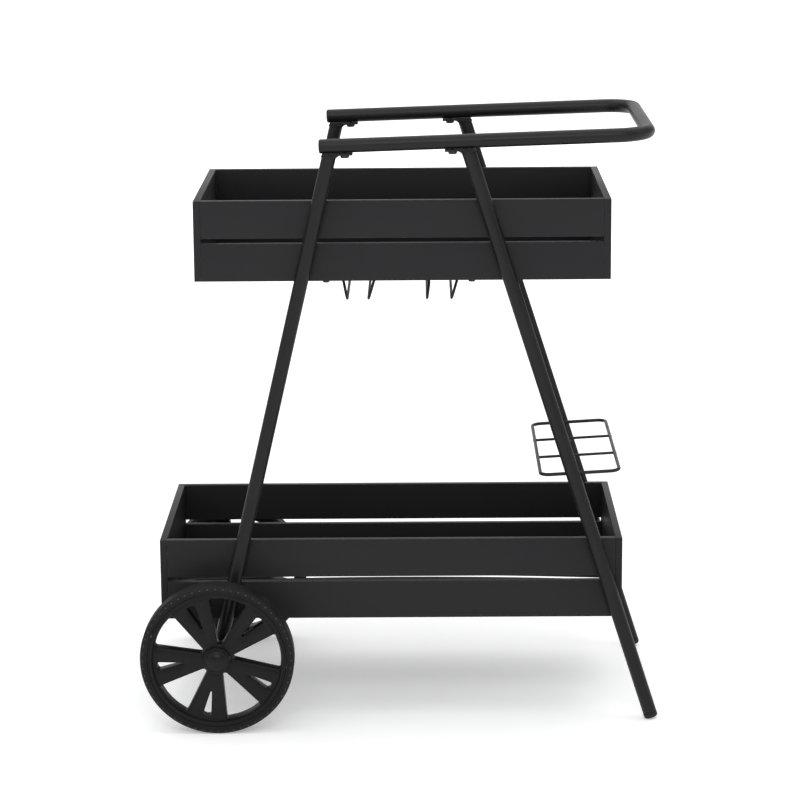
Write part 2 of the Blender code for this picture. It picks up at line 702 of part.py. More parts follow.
# Stemware rack: one bent wire of four rails, hung from the floor sheets of the top tray by four screws.
def stemware_rack():
    sheet_under = TOP_TRAY["bottom"] + TOP_TRAY["floor_raise"]
    under = sheet_under - GAP - STEM_WIRE
    rail = TOP_TRAY["bottom"] - STEM_DROP
    near, far = STEM_NEAR_INSET - TRAY_HALF_DEPTH, TRAY_HALF_DEPTH - STEM_FAR_INSET
    rise, back = near + STEM_NEAR_RUN, far + STEM_FAR_RUN
    one, two, three, four = STEM_RAILS
    splay = STEM_SPLAY

    def pair(first, second):
        """Back along the first rail, round the far end high up, and forward along the second."""
        wide_first, wide_second = first - STEM_FLARE, second + STEM_FLARE
        return [
            (first, near, rail),
            (first, far - STEM_FLARE, rail),
            (wide_first, far, rail),
            (wide_first, back, under),
            (wide_second, back, under),
            (wide_second, far, rail),
            (second, far - STEM_FLARE, rail),
            (second, near, rail),
        ]

    route = [(STEM_SCREWS[0] - SCREW_HEAD_RADIUS, rise, under), (one + splay[0], rise, under)]
    route += pair(one, two)
    route += [(two + splay[1], rise, under), (three + splay[2], rise, under)]
    route += pair(three, four)
    route += [(four + splay[3], rise, under), (STEM_SCREWS[1] + SCREW_HEAD_RADIUS, rise, under)]
    data = tube_curve("stemware_rack", rounded_path(route, STEM_BEND), STEM_WIRE, 8)
    mesh_of_curve("stemware_rack", data, WIRE_BLACK)
    beside = STEM_WIRE + SCREW_RADIUS + GAP
    spots = {
        "near_left": (STEM_SCREWS[0], rise - beside),
        "near_right": (STEM_SCREWS[1], rise - beside),
        "far_left": ((one + two) / 2, back - beside),
        "far_right": ((three + four) / 2, back - beside),
    }
    head_top = under - STEM_WIRE - GAP
    sheet_top = sheet_under + FLOOR_SHEET
    for tag, (x, y) in spots.items():
        name = "stem_screw_" + tag
        reach = sheet_top + SCREW_RADIUS - head_top
        screw(name, (x, y, head_top), (0, 0, 1), reach, (STEM_SCREW_HEAD_RADIUS, SCREW_HEAD_HEIGHT))
        way = hole(name + "_way", (x, y, head_top), (x, y, sheet_top + HOLE_OVERRUN), SCREW_HOLE_RADIUS)
        half = "near" if y < 0 else "far"
        cut(bpy.data.objects[f"top_{half}_floor"], way)


handle_tube = push_handle()
LEGS = {}
for frame_side in SIDES:
    handle_plug(frame_side)
    saddle("wheel", frame_side, WHEEL_LEG_TOP, 1, handle_tube)
    saddle("foot", frame_side, FOOT_LEG_TOP, -1, handle_tube)
    wheel_end = WHEEL_LEG_FOOT + WHEEL_DOWN * WHEEL_LEG_TAIL
    foot_end = FOOT_END - FOOT_DOWN * (FOOT_CAP_LENGTH + GAP)
    for leg_kind, leg_end in (("wheel", wheel_end), ("foot", foot_end)):
        leg_head, leg_down = LEG_LINES[leg_kind]
        leg_name = f"{leg_kind}_leg_{frame_side}"
        LEGS[leg_kind, frame_side] = leg(leg_name, frame_side, leg_head, leg_down, leg_end)
    axle_reach = LEG_Y + 2 * TUBE_RADIUS
    axle_hole = hole(
        "axle_hole_" + frame_side,
        (AXLE_X, SIDES[frame_side] * 2 * TUBE_RADIUS, AXLE_Z),
        (AXLE_X, SIDES[frame_side] * axle_reach, AXLE_Z),
        AXLE_RADIUS + GAP,
        AXLE_STEPS,
    )
    cut(LEGS["wheel", frame_side], axle_hole)
    foot_cap(frame_side)
    wheel(frame_side)
    axle_fittings(frame_side)
axle()
tray(TOP_TRAY)
tray(BOTTOM_TRAY)
bottle_rack()
stemware_rack()
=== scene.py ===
"""Bar cart on two fixed wheels, put together from its push handle down.

X runs along the cart, from the wheels to the push end, Y across it and Z up, in metres.
"""

import math

import bmesh
import bpy
import numpy as np
from mathutils import Matrix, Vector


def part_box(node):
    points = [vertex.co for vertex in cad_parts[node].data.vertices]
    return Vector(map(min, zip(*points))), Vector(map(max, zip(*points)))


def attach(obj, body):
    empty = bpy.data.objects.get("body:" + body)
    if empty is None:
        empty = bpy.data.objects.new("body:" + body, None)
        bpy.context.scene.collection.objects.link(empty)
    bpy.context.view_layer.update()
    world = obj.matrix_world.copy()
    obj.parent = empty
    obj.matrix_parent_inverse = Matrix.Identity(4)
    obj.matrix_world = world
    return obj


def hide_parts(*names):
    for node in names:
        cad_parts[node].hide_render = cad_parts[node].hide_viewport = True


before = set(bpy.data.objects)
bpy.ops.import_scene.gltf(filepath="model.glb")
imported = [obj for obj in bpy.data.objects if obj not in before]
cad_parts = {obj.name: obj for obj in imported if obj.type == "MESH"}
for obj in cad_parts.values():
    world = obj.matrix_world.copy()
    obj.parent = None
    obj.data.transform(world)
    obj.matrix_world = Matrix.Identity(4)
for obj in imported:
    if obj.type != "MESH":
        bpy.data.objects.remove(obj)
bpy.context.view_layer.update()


# The studio: a pale seamless floor, soft light from all round and above, and the camera.
# The floor glows a little, and more in its far parts, so that only the cart's soft shadow shows on it.
FLOOR_REACH = 60.0
FLOOR_ALBEDO = 0.86
FLOOR_GLOW = 0.31
FLOOR_FAR_GLOW = 0.90
GLOW_STARTS = 1.3
GLOW_FULL = 5.0
SKY_COLOUR = (0.98, 0.99, 1.0)
SKY_STRENGTH = 0.42
CAMERA_PLACE = (0.0344, -4.0085, 1.3507)
CAMERA_PITCH = math.radians(12.83)
CAMERA_YAW = math.radians(-0.486)
CAMERA_ROLL = math.radians(-0.463)
CAMERA_LENS = 124.65
SOFTBOXES = {
    "overhead": {"place": (-0.1, 0.35, 3.0), "aim": (0.0, 0.1, 0.3), "size": (4.8, 4.0), "power": 80},
    "back": {"place": (0.0, 6.0, 2.2), "aim": (0.0, 0.0, 0.6), "size": (8.0, 3.6), "power": 60},
    "left": {"place": (-3.2, -1.8, 2.2), "aim": (0.0, 0.0, 0.45), "size": (2.2, 2.2), "power": 16},
    "right": {"place": (3.4, -0.6, 2.4), "aim": (0.0, 0.0, 0.5), "size": (2.2, 2.2), "power": 15},
    "front": {"place": (0.0, -3.0, 2.6), "aim": (0.0, 0.0, 0.5), "size": (2.2, 1.2), "power": 38},
}


def add_node(tree, kind, values=None, **settings):
    """One shader node. Its settings are set, and each named input gets a number, a colour or a link."""
    made = tree.nodes.new(kind)
    for name, value in settings.items():
        setattr(made, name, value)
    for name, value in (values or {}).items():
        socket = made.inputs[name]
        if isinstance(value, bpy.types.NodeSocket):
            tree.links.new(value, socket)
        else:
            socket.default_value = value
    return made


def ranged(tree, value, low, high, first=0.0, last=1.0):
    """A number that goes evenly from first to last while the value goes from low to high."""
    ends = {"From Min": low, "From Max": high, "To Min": first, "To Max": last}
    return add_node(tree, "ShaderNodeMapRange", {"Value": value, **ends}).outputs["Result"]


def new_material(name, **constants):
    """A material with only its own shader, whose plain values are set on the shader's sockets."""
    made = bpy.data.materials.new(name)
    made.use_nodes = True
    shader = made.node_tree.nodes["Principled BSDF"]
    for socket, value in constants.items():
        shader.inputs[socket.replace("_", " ")].default_value = value
    return made, made.node_tree, shader


sweep_finish, tree, shader = new_material("pale_sweep", Base_Color=(FLOOR_ALBEDO,) * 3 + (1,))
shader.inputs["Emission Strength"].default_value = 1.0
where = add_node(tree, "ShaderNodeTexCoord").outputs["Object"]
grain = add_node(tree, "ShaderNodeTexNoise", {"Vector": where, "Scale": 3.0, "Detail": 4.0})
tree.links.new(ranged(tree, grain.outputs["Fac"], 0, 1, 0.72, 0.78), shader.inputs["Roughness"])
away = add_node(tree, "ShaderNodeVectorMath", {0: where}, operation="LENGTH").outputs["Value"]
glow = ranged(tree, away, GLOW_STARTS, GLOW_FULL, FLOOR_GLOW, FLOOR_FAR_GLOW)
tree.links.new(glow, shader.inputs["Emission Color"])
floor_data = bpy.data.meshes.new("studio_floor")
corners = FLOOR_REACH * np.array([[-1, -1, 0], [1, -1, 0], [1, 1, 0], [-1, 1, 0]])
floor_data.from_pydata(corners.tolist(), [], [[0, 1, 2, 3]])
floor_data.materials.append(sweep_finish)
studio_floor = bpy.data.objects.new("studio_floor", floor_data)
bpy.context.scene.collection.objects.link(studio_floor)

world = bpy.data.worlds.new("soft_room")
world.use_nodes = True
world.node_tree.nodes["Background"].inputs["Color"].default_value = (*SKY_COLOUR, 1)
world.node_tree.nodes["Background"].inputs["Strength"].default_value = SKY_STRENGTH
bpy.context.scene.world = world


def aimed(place, aim):
    """The turn that points an object's -Z from its place to its aim, with its Y kept as high as it can be."""
    back = np.array(place, float) - np.array(aim, float)
    back /= np.linalg.norm(back)
    right = np.cross([0, 0, 1], back)
    right /= np.linalg.norm(right)
    return np.stack([right, np.cross(back, right), back], 1)


def placed(turn, place):
    """A 4 by 4 matrix from three columns of directions and a place."""
    made = np.eye(4)
    made[:3, :3], made[:3, 3] = turn, place
    return Matrix(made.tolist())


for name, box in SOFTBOXES.items():
    light = bpy.data.lights.new("softbox_" + name, "AREA")
    light.shape = "RECTANGLE"
    light.size, light.size_y = box["size"]
    light.energy = box["power"]
    holder = bpy.data.objects.new("softbox_" + name, light)
    holder.matrix_world = placed(aimed(box["place"], box["aim"]), box["place"])
    bpy.context.scene.collection.objects.link(holder)

camera = bpy.data.objects.new("camera", bpy.data.cameras.new("camera"))
camera.data.lens = CAMERA_LENS
camera.data.sensor_width = 36.0
camera.data.clip_end = 200.0
pitch_cos, pitch_sin = math.cos(CAMERA_PITCH), math.sin(CAMERA_PITCH)
ahead = np.array([math.sin(CAMERA_YAW) * pitch_cos, math.cos(CAMERA_YAW) * pitch_cos, -pitch_sin])
level = np.array([math.cos(CAMERA_YAW), -math.sin(CAMERA_YAW), 0.0])
above = np.cross(level, ahead)
rolled_right = math.cos(CAMERA_ROLL) * level + math.sin(CAMERA_ROLL) * above
rolled_up = math.cos(CAMERA_ROLL) * above - math.sin(CAMERA_ROLL) * level
camera.matrix_world = placed(np.stack([rolled_right, rolled_up, -ahead], 1), CAMERA_PLACE)
bpy.context.scene.collection.objects.link(camera)
bpy.context.scene.camera = camera
bpy.context.scene.view_settings.view_transform = "Standard"
bpy.context.scene.view_settings.look = "None"


# Push handle: one 20 mm steel tube bent into a U, open at the wheel end, closed there by two plastic plugs.
# It slopes up towards the closed end and is powder-coated satin black. Each plug is pressed into the bore.
SIDES = {"near": -1, "far": 1}
LEG_Y = 0.173
TUBE_RADIUS = 0.010
TUBE_BORE = 0.0085
TUBE_LIP = 0.0005
GAP = 0.0003
HANDLE_CENTRE = np.array([0, 0, 0.8429])
HANDLE_RISE = math.radians(1.75)
HANDLE_LEFT = -0.107
HANDLE_RIGHT = 0.353
HANDLE_BEND = 0.045
HANDLE_ALONG = np.array([math.cos(HANDLE_RISE), 0, math.sin(HANDLE_RISE)])
HANDLE_UP = np.array([-math.sin(HANDLE_RISE), 0, math.cos(HANDLE_RISE)])
ACROSS = np.array([0.0, 1.0, 0.0])
COAT_COLOUR = (0.0066, 0.0055, 0.0057, 1)
COAT_WORN = (0.0100, 0.0088, 0.0089, 1)


def grid_faces(rows, columns, close_rows=False, close_columns=True):
    """Quads between neighbouring places of a grid, round its ends too where it closes on itself."""
    row = np.arange(rows if close_rows else rows - 1)
    column = np.arange(columns if close_columns else columns - 1)
    row, column = np.meshgrid(row, column, indexing="ij")
    beside, here, below = (column + 1) % columns, row * columns, (row + 1) % rows * columns
    quads = np.stack([here + column, here + beside, below + beside, below + column], -1)
    return quads.reshape(-1, 4).tolist()


def joined(shapes):
    """Several (points, faces) shapes as one."""
    points, faces, count = [], [], 0
    for some_points, some_faces in shapes:
        points.append(np.asarray(some_points, float).reshape(-1, 3))
        faces += [[index + count for index in face] for face in some_faces]
        count += len(points[-1])
    return np.concatenate(points), faces


def make_piece(name, shape, finish, body, nodes, smooth=40):
    """A mesh at the origin, doubles merged and faces turned outwards, smooth up to an angle in degrees."""
    points, faces = shape
    data = bpy.data.meshes.new(name)
    data.from_pydata(np.asarray(points).reshape(-1, 3).tolist(), [], faces)
    welding = bmesh.new()
    welding.from_mesh(data)
    bmesh.ops.remove_doubles(welding, verts=welding.verts, dist=2e-6)
    bmesh.ops.dissolve_degenerate(welding, edges=welding.edges, dist=1e-7)
    bmesh.ops.recalc_face_normals(welding, faces=welding.faces)
    welding.to_mesh(data)
    welding.free()
    data.shade_smooth()
    data.set_sharp_from_angle(angle=math.radians(smooth))
    data.materials.append(finish)
    made = bpy.data.objects.new(name, data)
    bpy.context.scene.collection.objects.link(made)
    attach(made, body)
    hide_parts(*nodes)
    return made


def rounded_route(corners, radius, closed=False, steps=14):
    """A route through the corners. Each is replaced by an arc: the arc's middle plus the radius times
    a direction that turns evenly from square to the first side to square to the second."""
    corners = [np.asarray(corner, float) for corner in corners]
    stretches = []
    for i, corner in enumerate(corners):
        if not closed and i in (0, len(corners) - 1):
            stretches.append(corner[None])
            continue
        back = corners[i - 1] - corner
        on = corners[(i + 1) % len(corners)] - corner
        back, on = back / np.linalg.norm(back), on / np.linalg.norm(on)
        half = math.acos(np.clip(back @ on, -1, 1)) / 2
        middle = corner + (back + on) / np.linalg.norm(back + on) * radius / math.sin(half)
        first = (corner + back * radius / math.tan(half) - middle) / radius
        last = (corner + on * radius / math.tan(half) - middle) / radius
        whole = math.pi - 2 * half
        share = np.linspace(0, 1, steps + 1)[:, None]
        turning = (np.sin((1 - share) * whole) * first + np.sin(share * whole) * last) / math.sin(whole)
        stretches.append(middle + turning * radius)
    return np.concatenate(stretches)


def full_turn(count):
    """Angles spaced evenly once round, in radians."""
    return np.linspace(0, 2 * math.pi, count, endpoint=False)


def carried_round(route, radii, sides, closed=False, guide=(0.37, 0.53, 0.76)):
    """A round section carried along a route: point = place + radius (cos a side + sin a up), where side is
    square to the route and to a guide direction, and up is square to both."""
    route = np.asarray(route, float)
    if closed:
        heading = np.roll(route, -1, 0) - np.roll(route, 1, 0)
    else:
        heading = np.gradient(route, axis=0)
    heading /= np.linalg.norm(heading, axis=1, keepdims=True)
    side = np.cross(heading, guide)
    side /= np.linalg.norm(side, axis=1, keepdims=True)
    up = np.cross(heading, side)
    turn = full_turn(sides)
    spread = np.cos(turn)[None, :, None] * side[:, None] + np.sin(turn)[None, :, None] * up[:, None]
    return route[:, None] + np.broadcast_to(radii, len(route))[:, None, None] * spread


def box_of(node):
    """The low and high corners of a CAD node's box, and its middle."""
    low, high = (np.array(corner, float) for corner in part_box(node))
    return low, high, (low + high) / 2


def mesh_places(made):
    """Where a piece's vertices are, one row each."""
    places = np.empty(len(made.data.vertices) * 3, np.float32)
    made.data.vertices.foreach_get("co", places)
    return places.reshape(-1, 3)


def unit(direction):
    """The direction at length one."""
    return np.asarray(direction, float) / np.linalg.norm(direction)


def rod(route, radius, sides=20, closed=False, rounding=0.4):
    """A solid round wire. At an open end the radius grows along a quarter circle: place = end + rounding
    (1 - cos a), radius share = 1 - rounding + rounding sin a."""
    route = np.asarray(route, float)
    if closed:
        return carried_round(route, radius, sides, True), grid_faces(len(route), sides, close_rows=True)
    turn = np.linspace(0, math.pi / 2, 6)
    reach = radius * rounding * (1 - np.cos(turn))[:, None]
    first, last = unit(route[1] - route[0]), unit(route[-2] - route[-1])
    tail = (route[-1] + last * reach)[::-1]
    place = np.concatenate([route[0] + first * reach, route[1:-1], tail])
    share = 1 - rounding + rounding * np.sin(turn)
    radii = radius * np.concatenate([share, np.ones(len(route) - 2), share[::-1]])
    count = len(place) * sides
    ends = [list(range(sides)), list(range(count - sides, count))]
    return carried_round(place, radii, sides), grid_faces(len(place), sides) + ends


def pipe(route, outer, bore, lip, sides=48, guide=(0.37, 0.53, 0.76)):
    """A tube with a wall: out along the route on the outside, back inside it, its lips a small slope."""
    start, stop = route[:1], route[-1:]
    first, last = unit(route[1] - route[0]), unit(route[-2] - route[-1])
    run = np.concatenate([start, start + first * lip, route[1:-1], stop + last * lip, stop])
    radii = np.full(len(run), outer)
    radii[[0, -1]] -= lip
    outside = carried_round(run, radii, sides, guide=guide)
    inside = carried_round(run, bore, sides, guide=guide)[::-1]
    points = np.concatenate([outside, inside])
    return points, grid_faces(len(points), sides, close_rows=True)


def turned(profile, place, axis, side=(1, 0, 0), sides=48, ring=False):
    """A solid of revolution: point = place + height axis + radius (cos a side + sin a up)."""
    axis = unit(axis)
    side = unit(np.asarray(side, float) - axis * (np.asarray(side, float) @ axis))
    up = np.cross(axis, side)
    profile = np.asarray(profile, float)
    turn = full_turn(sides)
    around = np.cos(turn)[:, None] * side + np.sin(turn)[:, None] * up
    points = place + profile[:, 1, None, None] * axis + profile[:, 0, None, None] * around[None]
    return points, grid_faces(len(profile), sides, close_rows=ring)


def corner_arc(middle, radius, first, last, steps=6):
    """(radius, height) pairs round part of a circle, its angles in degrees."""
    turn = np.radians(np.linspace(first, last, steps + 1))
    return [(middle[0] + radius * math.cos(t), middle[1] + radius * math.sin(t)) for t in turn]


def new_group(name, inputs, outputs):
    """An empty shader group with number or vector sockets, and the nodes at its two ends."""
    group = bpy.data.node_groups.new(name, "ShaderNodeTree")
    for socket, kind, value in inputs:
        made = group.interface.new_socket(name=socket, in_out="INPUT", socket_type=kind)
        if value is not None:
            made.default_value = value
    for socket in outputs:
        group.interface.new_socket(name=socket, in_out="OUTPUT", socket_type="NodeSocketFloat")
    return group, group.nodes.new("NodeGroupInput").outputs, group.nodes.new("NodeGroupOutput").inputs


def of_two(tree, first, second, operation):
    """One number from two."""
    return add_node(tree, "ShaderNodeMath", {0: first, 1: second}, operation=operation).outputs[0]


# What every coated, painted or moulded surface shows: a fine skin, cloudy patches and a few specks of dust.
COATING, given, result = new_group(
    "coating_skin",
    [
        ("Vector", "NodeSocketVector", None), ("Skin", "NodeSocketFloat", 900.0),
        ("Patches", "NodeSocketFloat", 14.0), ("Specks", "NodeSocketFloat", 420.0),
    ],
    ["Height", "Cloud", "Dust"],
)
where = given["Vector"]
fine = add_node(COATING, "ShaderNodeTexNoise", {"Vector": where, "Scale": given["Skin"], "Detail": 2.0})
slow = add_node(COATING, "ShaderNodeTexNoise", {"Vector": where, "Scale": given["Patches"], "Detail": 5.0})
motes = add_node(COATING, "ShaderNodeTexVoronoi", {"Vector": where, "Scale": given["Specks"]}).outputs
COATING.links.new(fine.outputs["Fac"], result["Height"])
COATING.links.new(ranged(COATING, slow.outputs["Fac"], 0.32, 0.68), result["Cloud"])
near_mote = ranged(COATING, motes["Distance"], 0.05, 0.16, 1.0, 0.0)
here = ranged(COATING, motes["Color"], 0.80, 0.86)
COATING.links.new(of_two(COATING, near_mote, here, "MULTIPLY"), result["Dust"])

SPECKS = 420.0
DUST_COLOUR = (0.06, 0.058, 0.056, 1)
FACE_ON_SHINE = 0.24


def blended(tree, share, first, second):
    """A colour node: first + share (second - first). Each colour is a plain value or a link."""
    return add_node(tree, "ShaderNodeMix", {0: share, 6: first, 7: second}, data_type="RGBA")


def coated(
    name, colour, cloudy, rough,
    skin=900.0, depth=0.00006, patches=14.0, dusty=0.35, strength=0.5, stretch=(1, 1, 1), **constants,
):
    """A finish whose colour and roughness drift with the cloud, with dust in places and a fine raised skin.
    It gives the material, its tree, its shader and the node with the dusty colour."""
    constants.setdefault("Specular_IOR_Level", FACE_ON_SHINE)
    made, tree, shader = new_material(name, **constants)
    where = add_node(tree, "ShaderNodeTexCoord").outputs["Object"]
    where = add_node(tree, "ShaderNodeMapping", {"Vector": where, "Scale": stretch}).outputs["Vector"]
    skin_node = add_node(tree, "ShaderNodeGroup", node_tree=COATING)
    for socket, value in (("Skin", skin), ("Patches", patches), ("Specks", SPECKS)):
        skin_node.inputs[socket].default_value = value
    tree.links.new(where, skin_node.inputs["Vector"])
    cloud, mote = skin_node.outputs["Cloud"], skin_node.outputs["Dust"]
    base = blended(tree, cloud, colour, cloudy)
    dusted = blended(tree, of_two(tree, mote, dusty, "MULTIPLY"), base.outputs[2], DUST_COLOUR)
    tree.links.new(dusted.outputs[2], shader.inputs["Base Color"])
    tree.links.new(ranged(tree, cloud, 0, 1, *rough), shader.inputs["Roughness"])
    height = skin_node.outputs["Height"]
    bump = add_node(tree, "ShaderNodeBump", {"Height": height, "Strength": strength, "Distance": depth})
    tree.links.new(bump.outputs["Normal"], shader.inputs["Normal"])
    return made, tree, shader, dusted


def handle_point(along, across, up=0.0):
    """A place measured along the handle, across the cart and square to the handle's plane."""
    return HANDLE_CENTRE + along * HANDLE_ALONG + across * ACROSS + up * HANDLE_UP


TUBE_COAT, *_ = coated(
    "satin_powder_coat", COAT_COLOUR, COAT_WORN, (0.36, 0.46), skin=1100.0, depth=0.00008
)
PLUG_PLASTIC, *_ = coated(
    "moulded_plug_plastic", (0.012, 0.0115, 0.0115, 1), (0.016, 0.0155, 0.0155, 1), (0.46, 0.58),
    skin=2200.0,
)
corners = [handle_point(HANDLE_LEFT, -LEG_Y), handle_point(HANDLE_RIGHT, -LEG_Y)]
corners += [handle_point(HANDLE_RIGHT, LEG_Y), handle_point(HANDLE_LEFT, LEG_Y)]
u_bend = rounded_route(corners, HANDLE_BEND, steps=28)
u_tube = pipe(u_bend, TUBE_RADIUS, TUBE_BORE, TUBE_LIP, guide=HANDLE_UP)
make_piece("push_handle_tube", u_tube, TUBE_COAT, "frame", ["push_handle"])
plug_profile = [(0, 0.0016), (0.004, 0.0016), (0.0078, 0.0013), (0.0090, 0.0008), (0.0094, 0.0002)]
plug_profile += [(0.0094, -0.0003), (0.0080, -0.0003), (0.0082, -0.0040), (0.0079, -0.0045)]
plug_profile += [(0.0082, -0.0080), (0.0076, -0.0120), (0, -0.0120)]
for side, sign in SIDES.items():
    tube_end = handle_point(HANDLE_LEFT - GAP, sign * LEG_Y)
    plug = turned(plug_profile, tube_end, -HANDLE_ALONG, ACROSS, 40)
    make_piece("end_plug_" + side, plug, PLUG_PLASTIC, "frame", ["handle_plug_" + side])


# Legs: four straight 20 mm powder-coated steel tubes, an A on each side, welded under the saddle plates above.
# The wheel legs run on past the axle and are left open, and the foot legs end in a plastic foot.
SADDLE_THICKNESS = 0.003
SADDLE_TOP = -TUBE_RADIUS - GAP
LEG_TOP_DROP = SADDLE_THICKNESS + GAP - SADDLE_TOP
WHEEL_LEG_TOP = -0.0947
WHEEL_LEG_TAIL = 0.018
AXLE_POINT = np.array([-0.2625, 0, 0.1105])
FOOT_LEAN = math.radians(17.65)
FOOT_ROUND = 0.002
FOOT_LENGTH = 0.007
WELD_SIZE = 0.0013
FOOT_DOWN = np.array([math.sin(FOOT_LEAN), 0, -math.cos(FOOT_LEAN)])
WHEEL_HEAD = handle_point(WHEEL_LEG_TOP, 0, -LEG_TOP_DROP)
WHEEL_DOWN = unit(AXLE_POINT - WHEEL_HEAD)
foot_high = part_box("foot_cap_near")[1]
FLAT = TUBE_RADIUS - FOOT_ROUND
FOOT_END = np.array([
    foot_high[0] - FOOT_ROUND - FLAT * math.cos(FOOT_LEAN) + FOOT_ROUND * math.sin(FOOT_LEAN),
    0,
    FLAT * math.sin(FOOT_LEAN) + FOOT_ROUND * (1 - math.cos(FOOT_LEAN)),
])
top_plane = handle_point(0, 0, -LEG_TOP_DROP)
FOOT_HEAD = FOOT_END - FOOT_DOWN * ((top_plane - FOOT_END) @ HANDLE_UP) / (-FOOT_DOWN @ HANDLE_UP)


def leg_tube(head, down, end, sides=48):
    """A tube cut square at the foot and along the handle's plane at the top: each line of its wall starts
    where (head - place) dot up = 0, and the wall is out along the outside and back inside."""
    side = unit(np.cross(down, ACROSS))
    turn = full_turn(sides)
    around = np.cos(turn)[:, None] * side + np.sin(turn)[:, None] * ACROSS
    length = (end - head) @ down
    rows = []
    for radius, low in ((TUBE_RADIUS, TUBE_LIP), (TUBE_RADIUS - TUBE_LIP, 0), (TUBE_BORE, 0)):
        wall = head + radius * around
        rows.append(wall + (length - low) * down)
    for radius, drop in ((TUBE_BORE, 0), (TUBE_RADIUS - TUBE_LIP, 0), (TUBE_RADIUS, TUBE_LIP)):
        wall = head + radius * around
        start = -((wall - head) @ HANDLE_UP) / (down @ HANDLE_UP)
        rows.append(wall + (start + drop)[:, None] * down)
    return np.stack(rows), grid_faces(len(rows), sides, close_rows=True)


def weld_bead(head, down, across_at):
    """A small round bead round the leg's welded top. Its size ripples: WELD_SIZE (1 + 0.14 sin 30 a +
    0.08 sin (7 a + 1))."""
    side = unit(np.cross(down, ACROSS))
    turn = full_turn(120)
    around = np.cos(turn)[:, None] * side + np.sin(turn)[:, None] * ACROSS
    line = head + TUBE_RADIUS * around
    line = line - (((line - head) @ HANDLE_UP) / (down @ HANDLE_UP))[:, None] * down + across_at
    radii = WELD_SIZE * (1 + 0.14 * np.sin(30 * turn) + 0.08 * np.sin(7 * turn + 1))
    bead = carried_round(line - HANDLE_UP * WELD_SIZE * 0.3, radii, 10, True, HANDLE_UP)
    return bead, grid_faces(120, 10, close_rows=True)


LEG_LINES = {
    "wheel": (WHEEL_HEAD, WHEEL_DOWN, AXLE_POINT + WHEEL_DOWN * WHEEL_LEG_TAIL, 1),
    "foot": (FOOT_HEAD, FOOT_DOWN, FOOT_END - FOOT_DOWN * (FOOT_LENGTH + GAP), -1),
}
for kind, (head, down, end, toward) in LEG_LINES.items():
    for side, sign in SIDES.items():
        offset = sign * LEG_Y * ACROSS
        points, faces = leg_tube(head, down, end)
        shape = joined([(points + offset, faces), weld_bead(head, down, offset)])
        node = f"{kind}_leg_{side}"
        make_piece(f"{kind}_leg_tube_{side}", shape, TUBE_COAT, "frame", [node])


# Saddle plates: a 3 mm steel tab welded on each leg's top, reaching inwards under the handle, with a bent web
# in the corner. A button-head screw with a hexagon socket comes up through the tab into the tube.
SADDLE_WIDTH = 0.018
SADDLE_REACH = 0.033
SADDLE_HEEL = 0.010
SADDLE_SCREW_AT = 0.022
SADDLE_EDGE = 0.0010
WEB_RADIUS = 0.008
BUTTON_RADIUS = 0.0062
BUTTON_RISE = 0.0041
BUTTON_SHANK = 0.0105
SHANK_RADIUS = 0.0019
SCREW_COLOUR = (0.045, 0.043, 0.042, 1)
SCREW_CLOUDY = (0.05, 0.048, 0.046, 1)


def round_block(middle, half, edge, basis=np.eye(3), steps=4):
    """A block with round edges: point = middle + signs (half - edge) + edge direction. The direction runs
    over a ball, and the signs jump from one corner to the next, which draws the flats between them."""
    half = np.asarray(half, float)
    quarter = np.linspace(0, math.pi / 2, steps + 1)
    around = np.concatenate([quarter + i * math.pi / 2 for i in range(4)])
    over = np.concatenate([quarter, quarter + math.pi / 2])
    lon, lat = np.meshgrid(around, over)
    ball = np.stack([np.sin(lat) * np.cos(lon), np.sin(lat) * np.sin(lon), np.cos(lat)], -1)
    quadrant = np.repeat(np.arange(4), steps + 1)
    sign_x = np.where((quadrant == 0) | (quadrant == 3), 1.0, -1.0)[None]
    sign_y = np.where(quadrant < 2, 1.0, -1.0)[None]
    sign_z = np.repeat([1.0, -1.0], steps + 1)[:, None]
    signs = np.stack(np.broadcast_arrays(sign_x, sign_y, sign_z), -1)
    local = signs * (half - edge) + edge * ball
    columns, rows = len(around), len(over)
    caps = [[row * columns + i * (steps + 1) for i in range(4)] for row in (0, rows - 1)]
    points = local.reshape(-1, 3) @ np.asarray(basis, float).T + middle
    return points, grid_faces(rows, columns) + caps


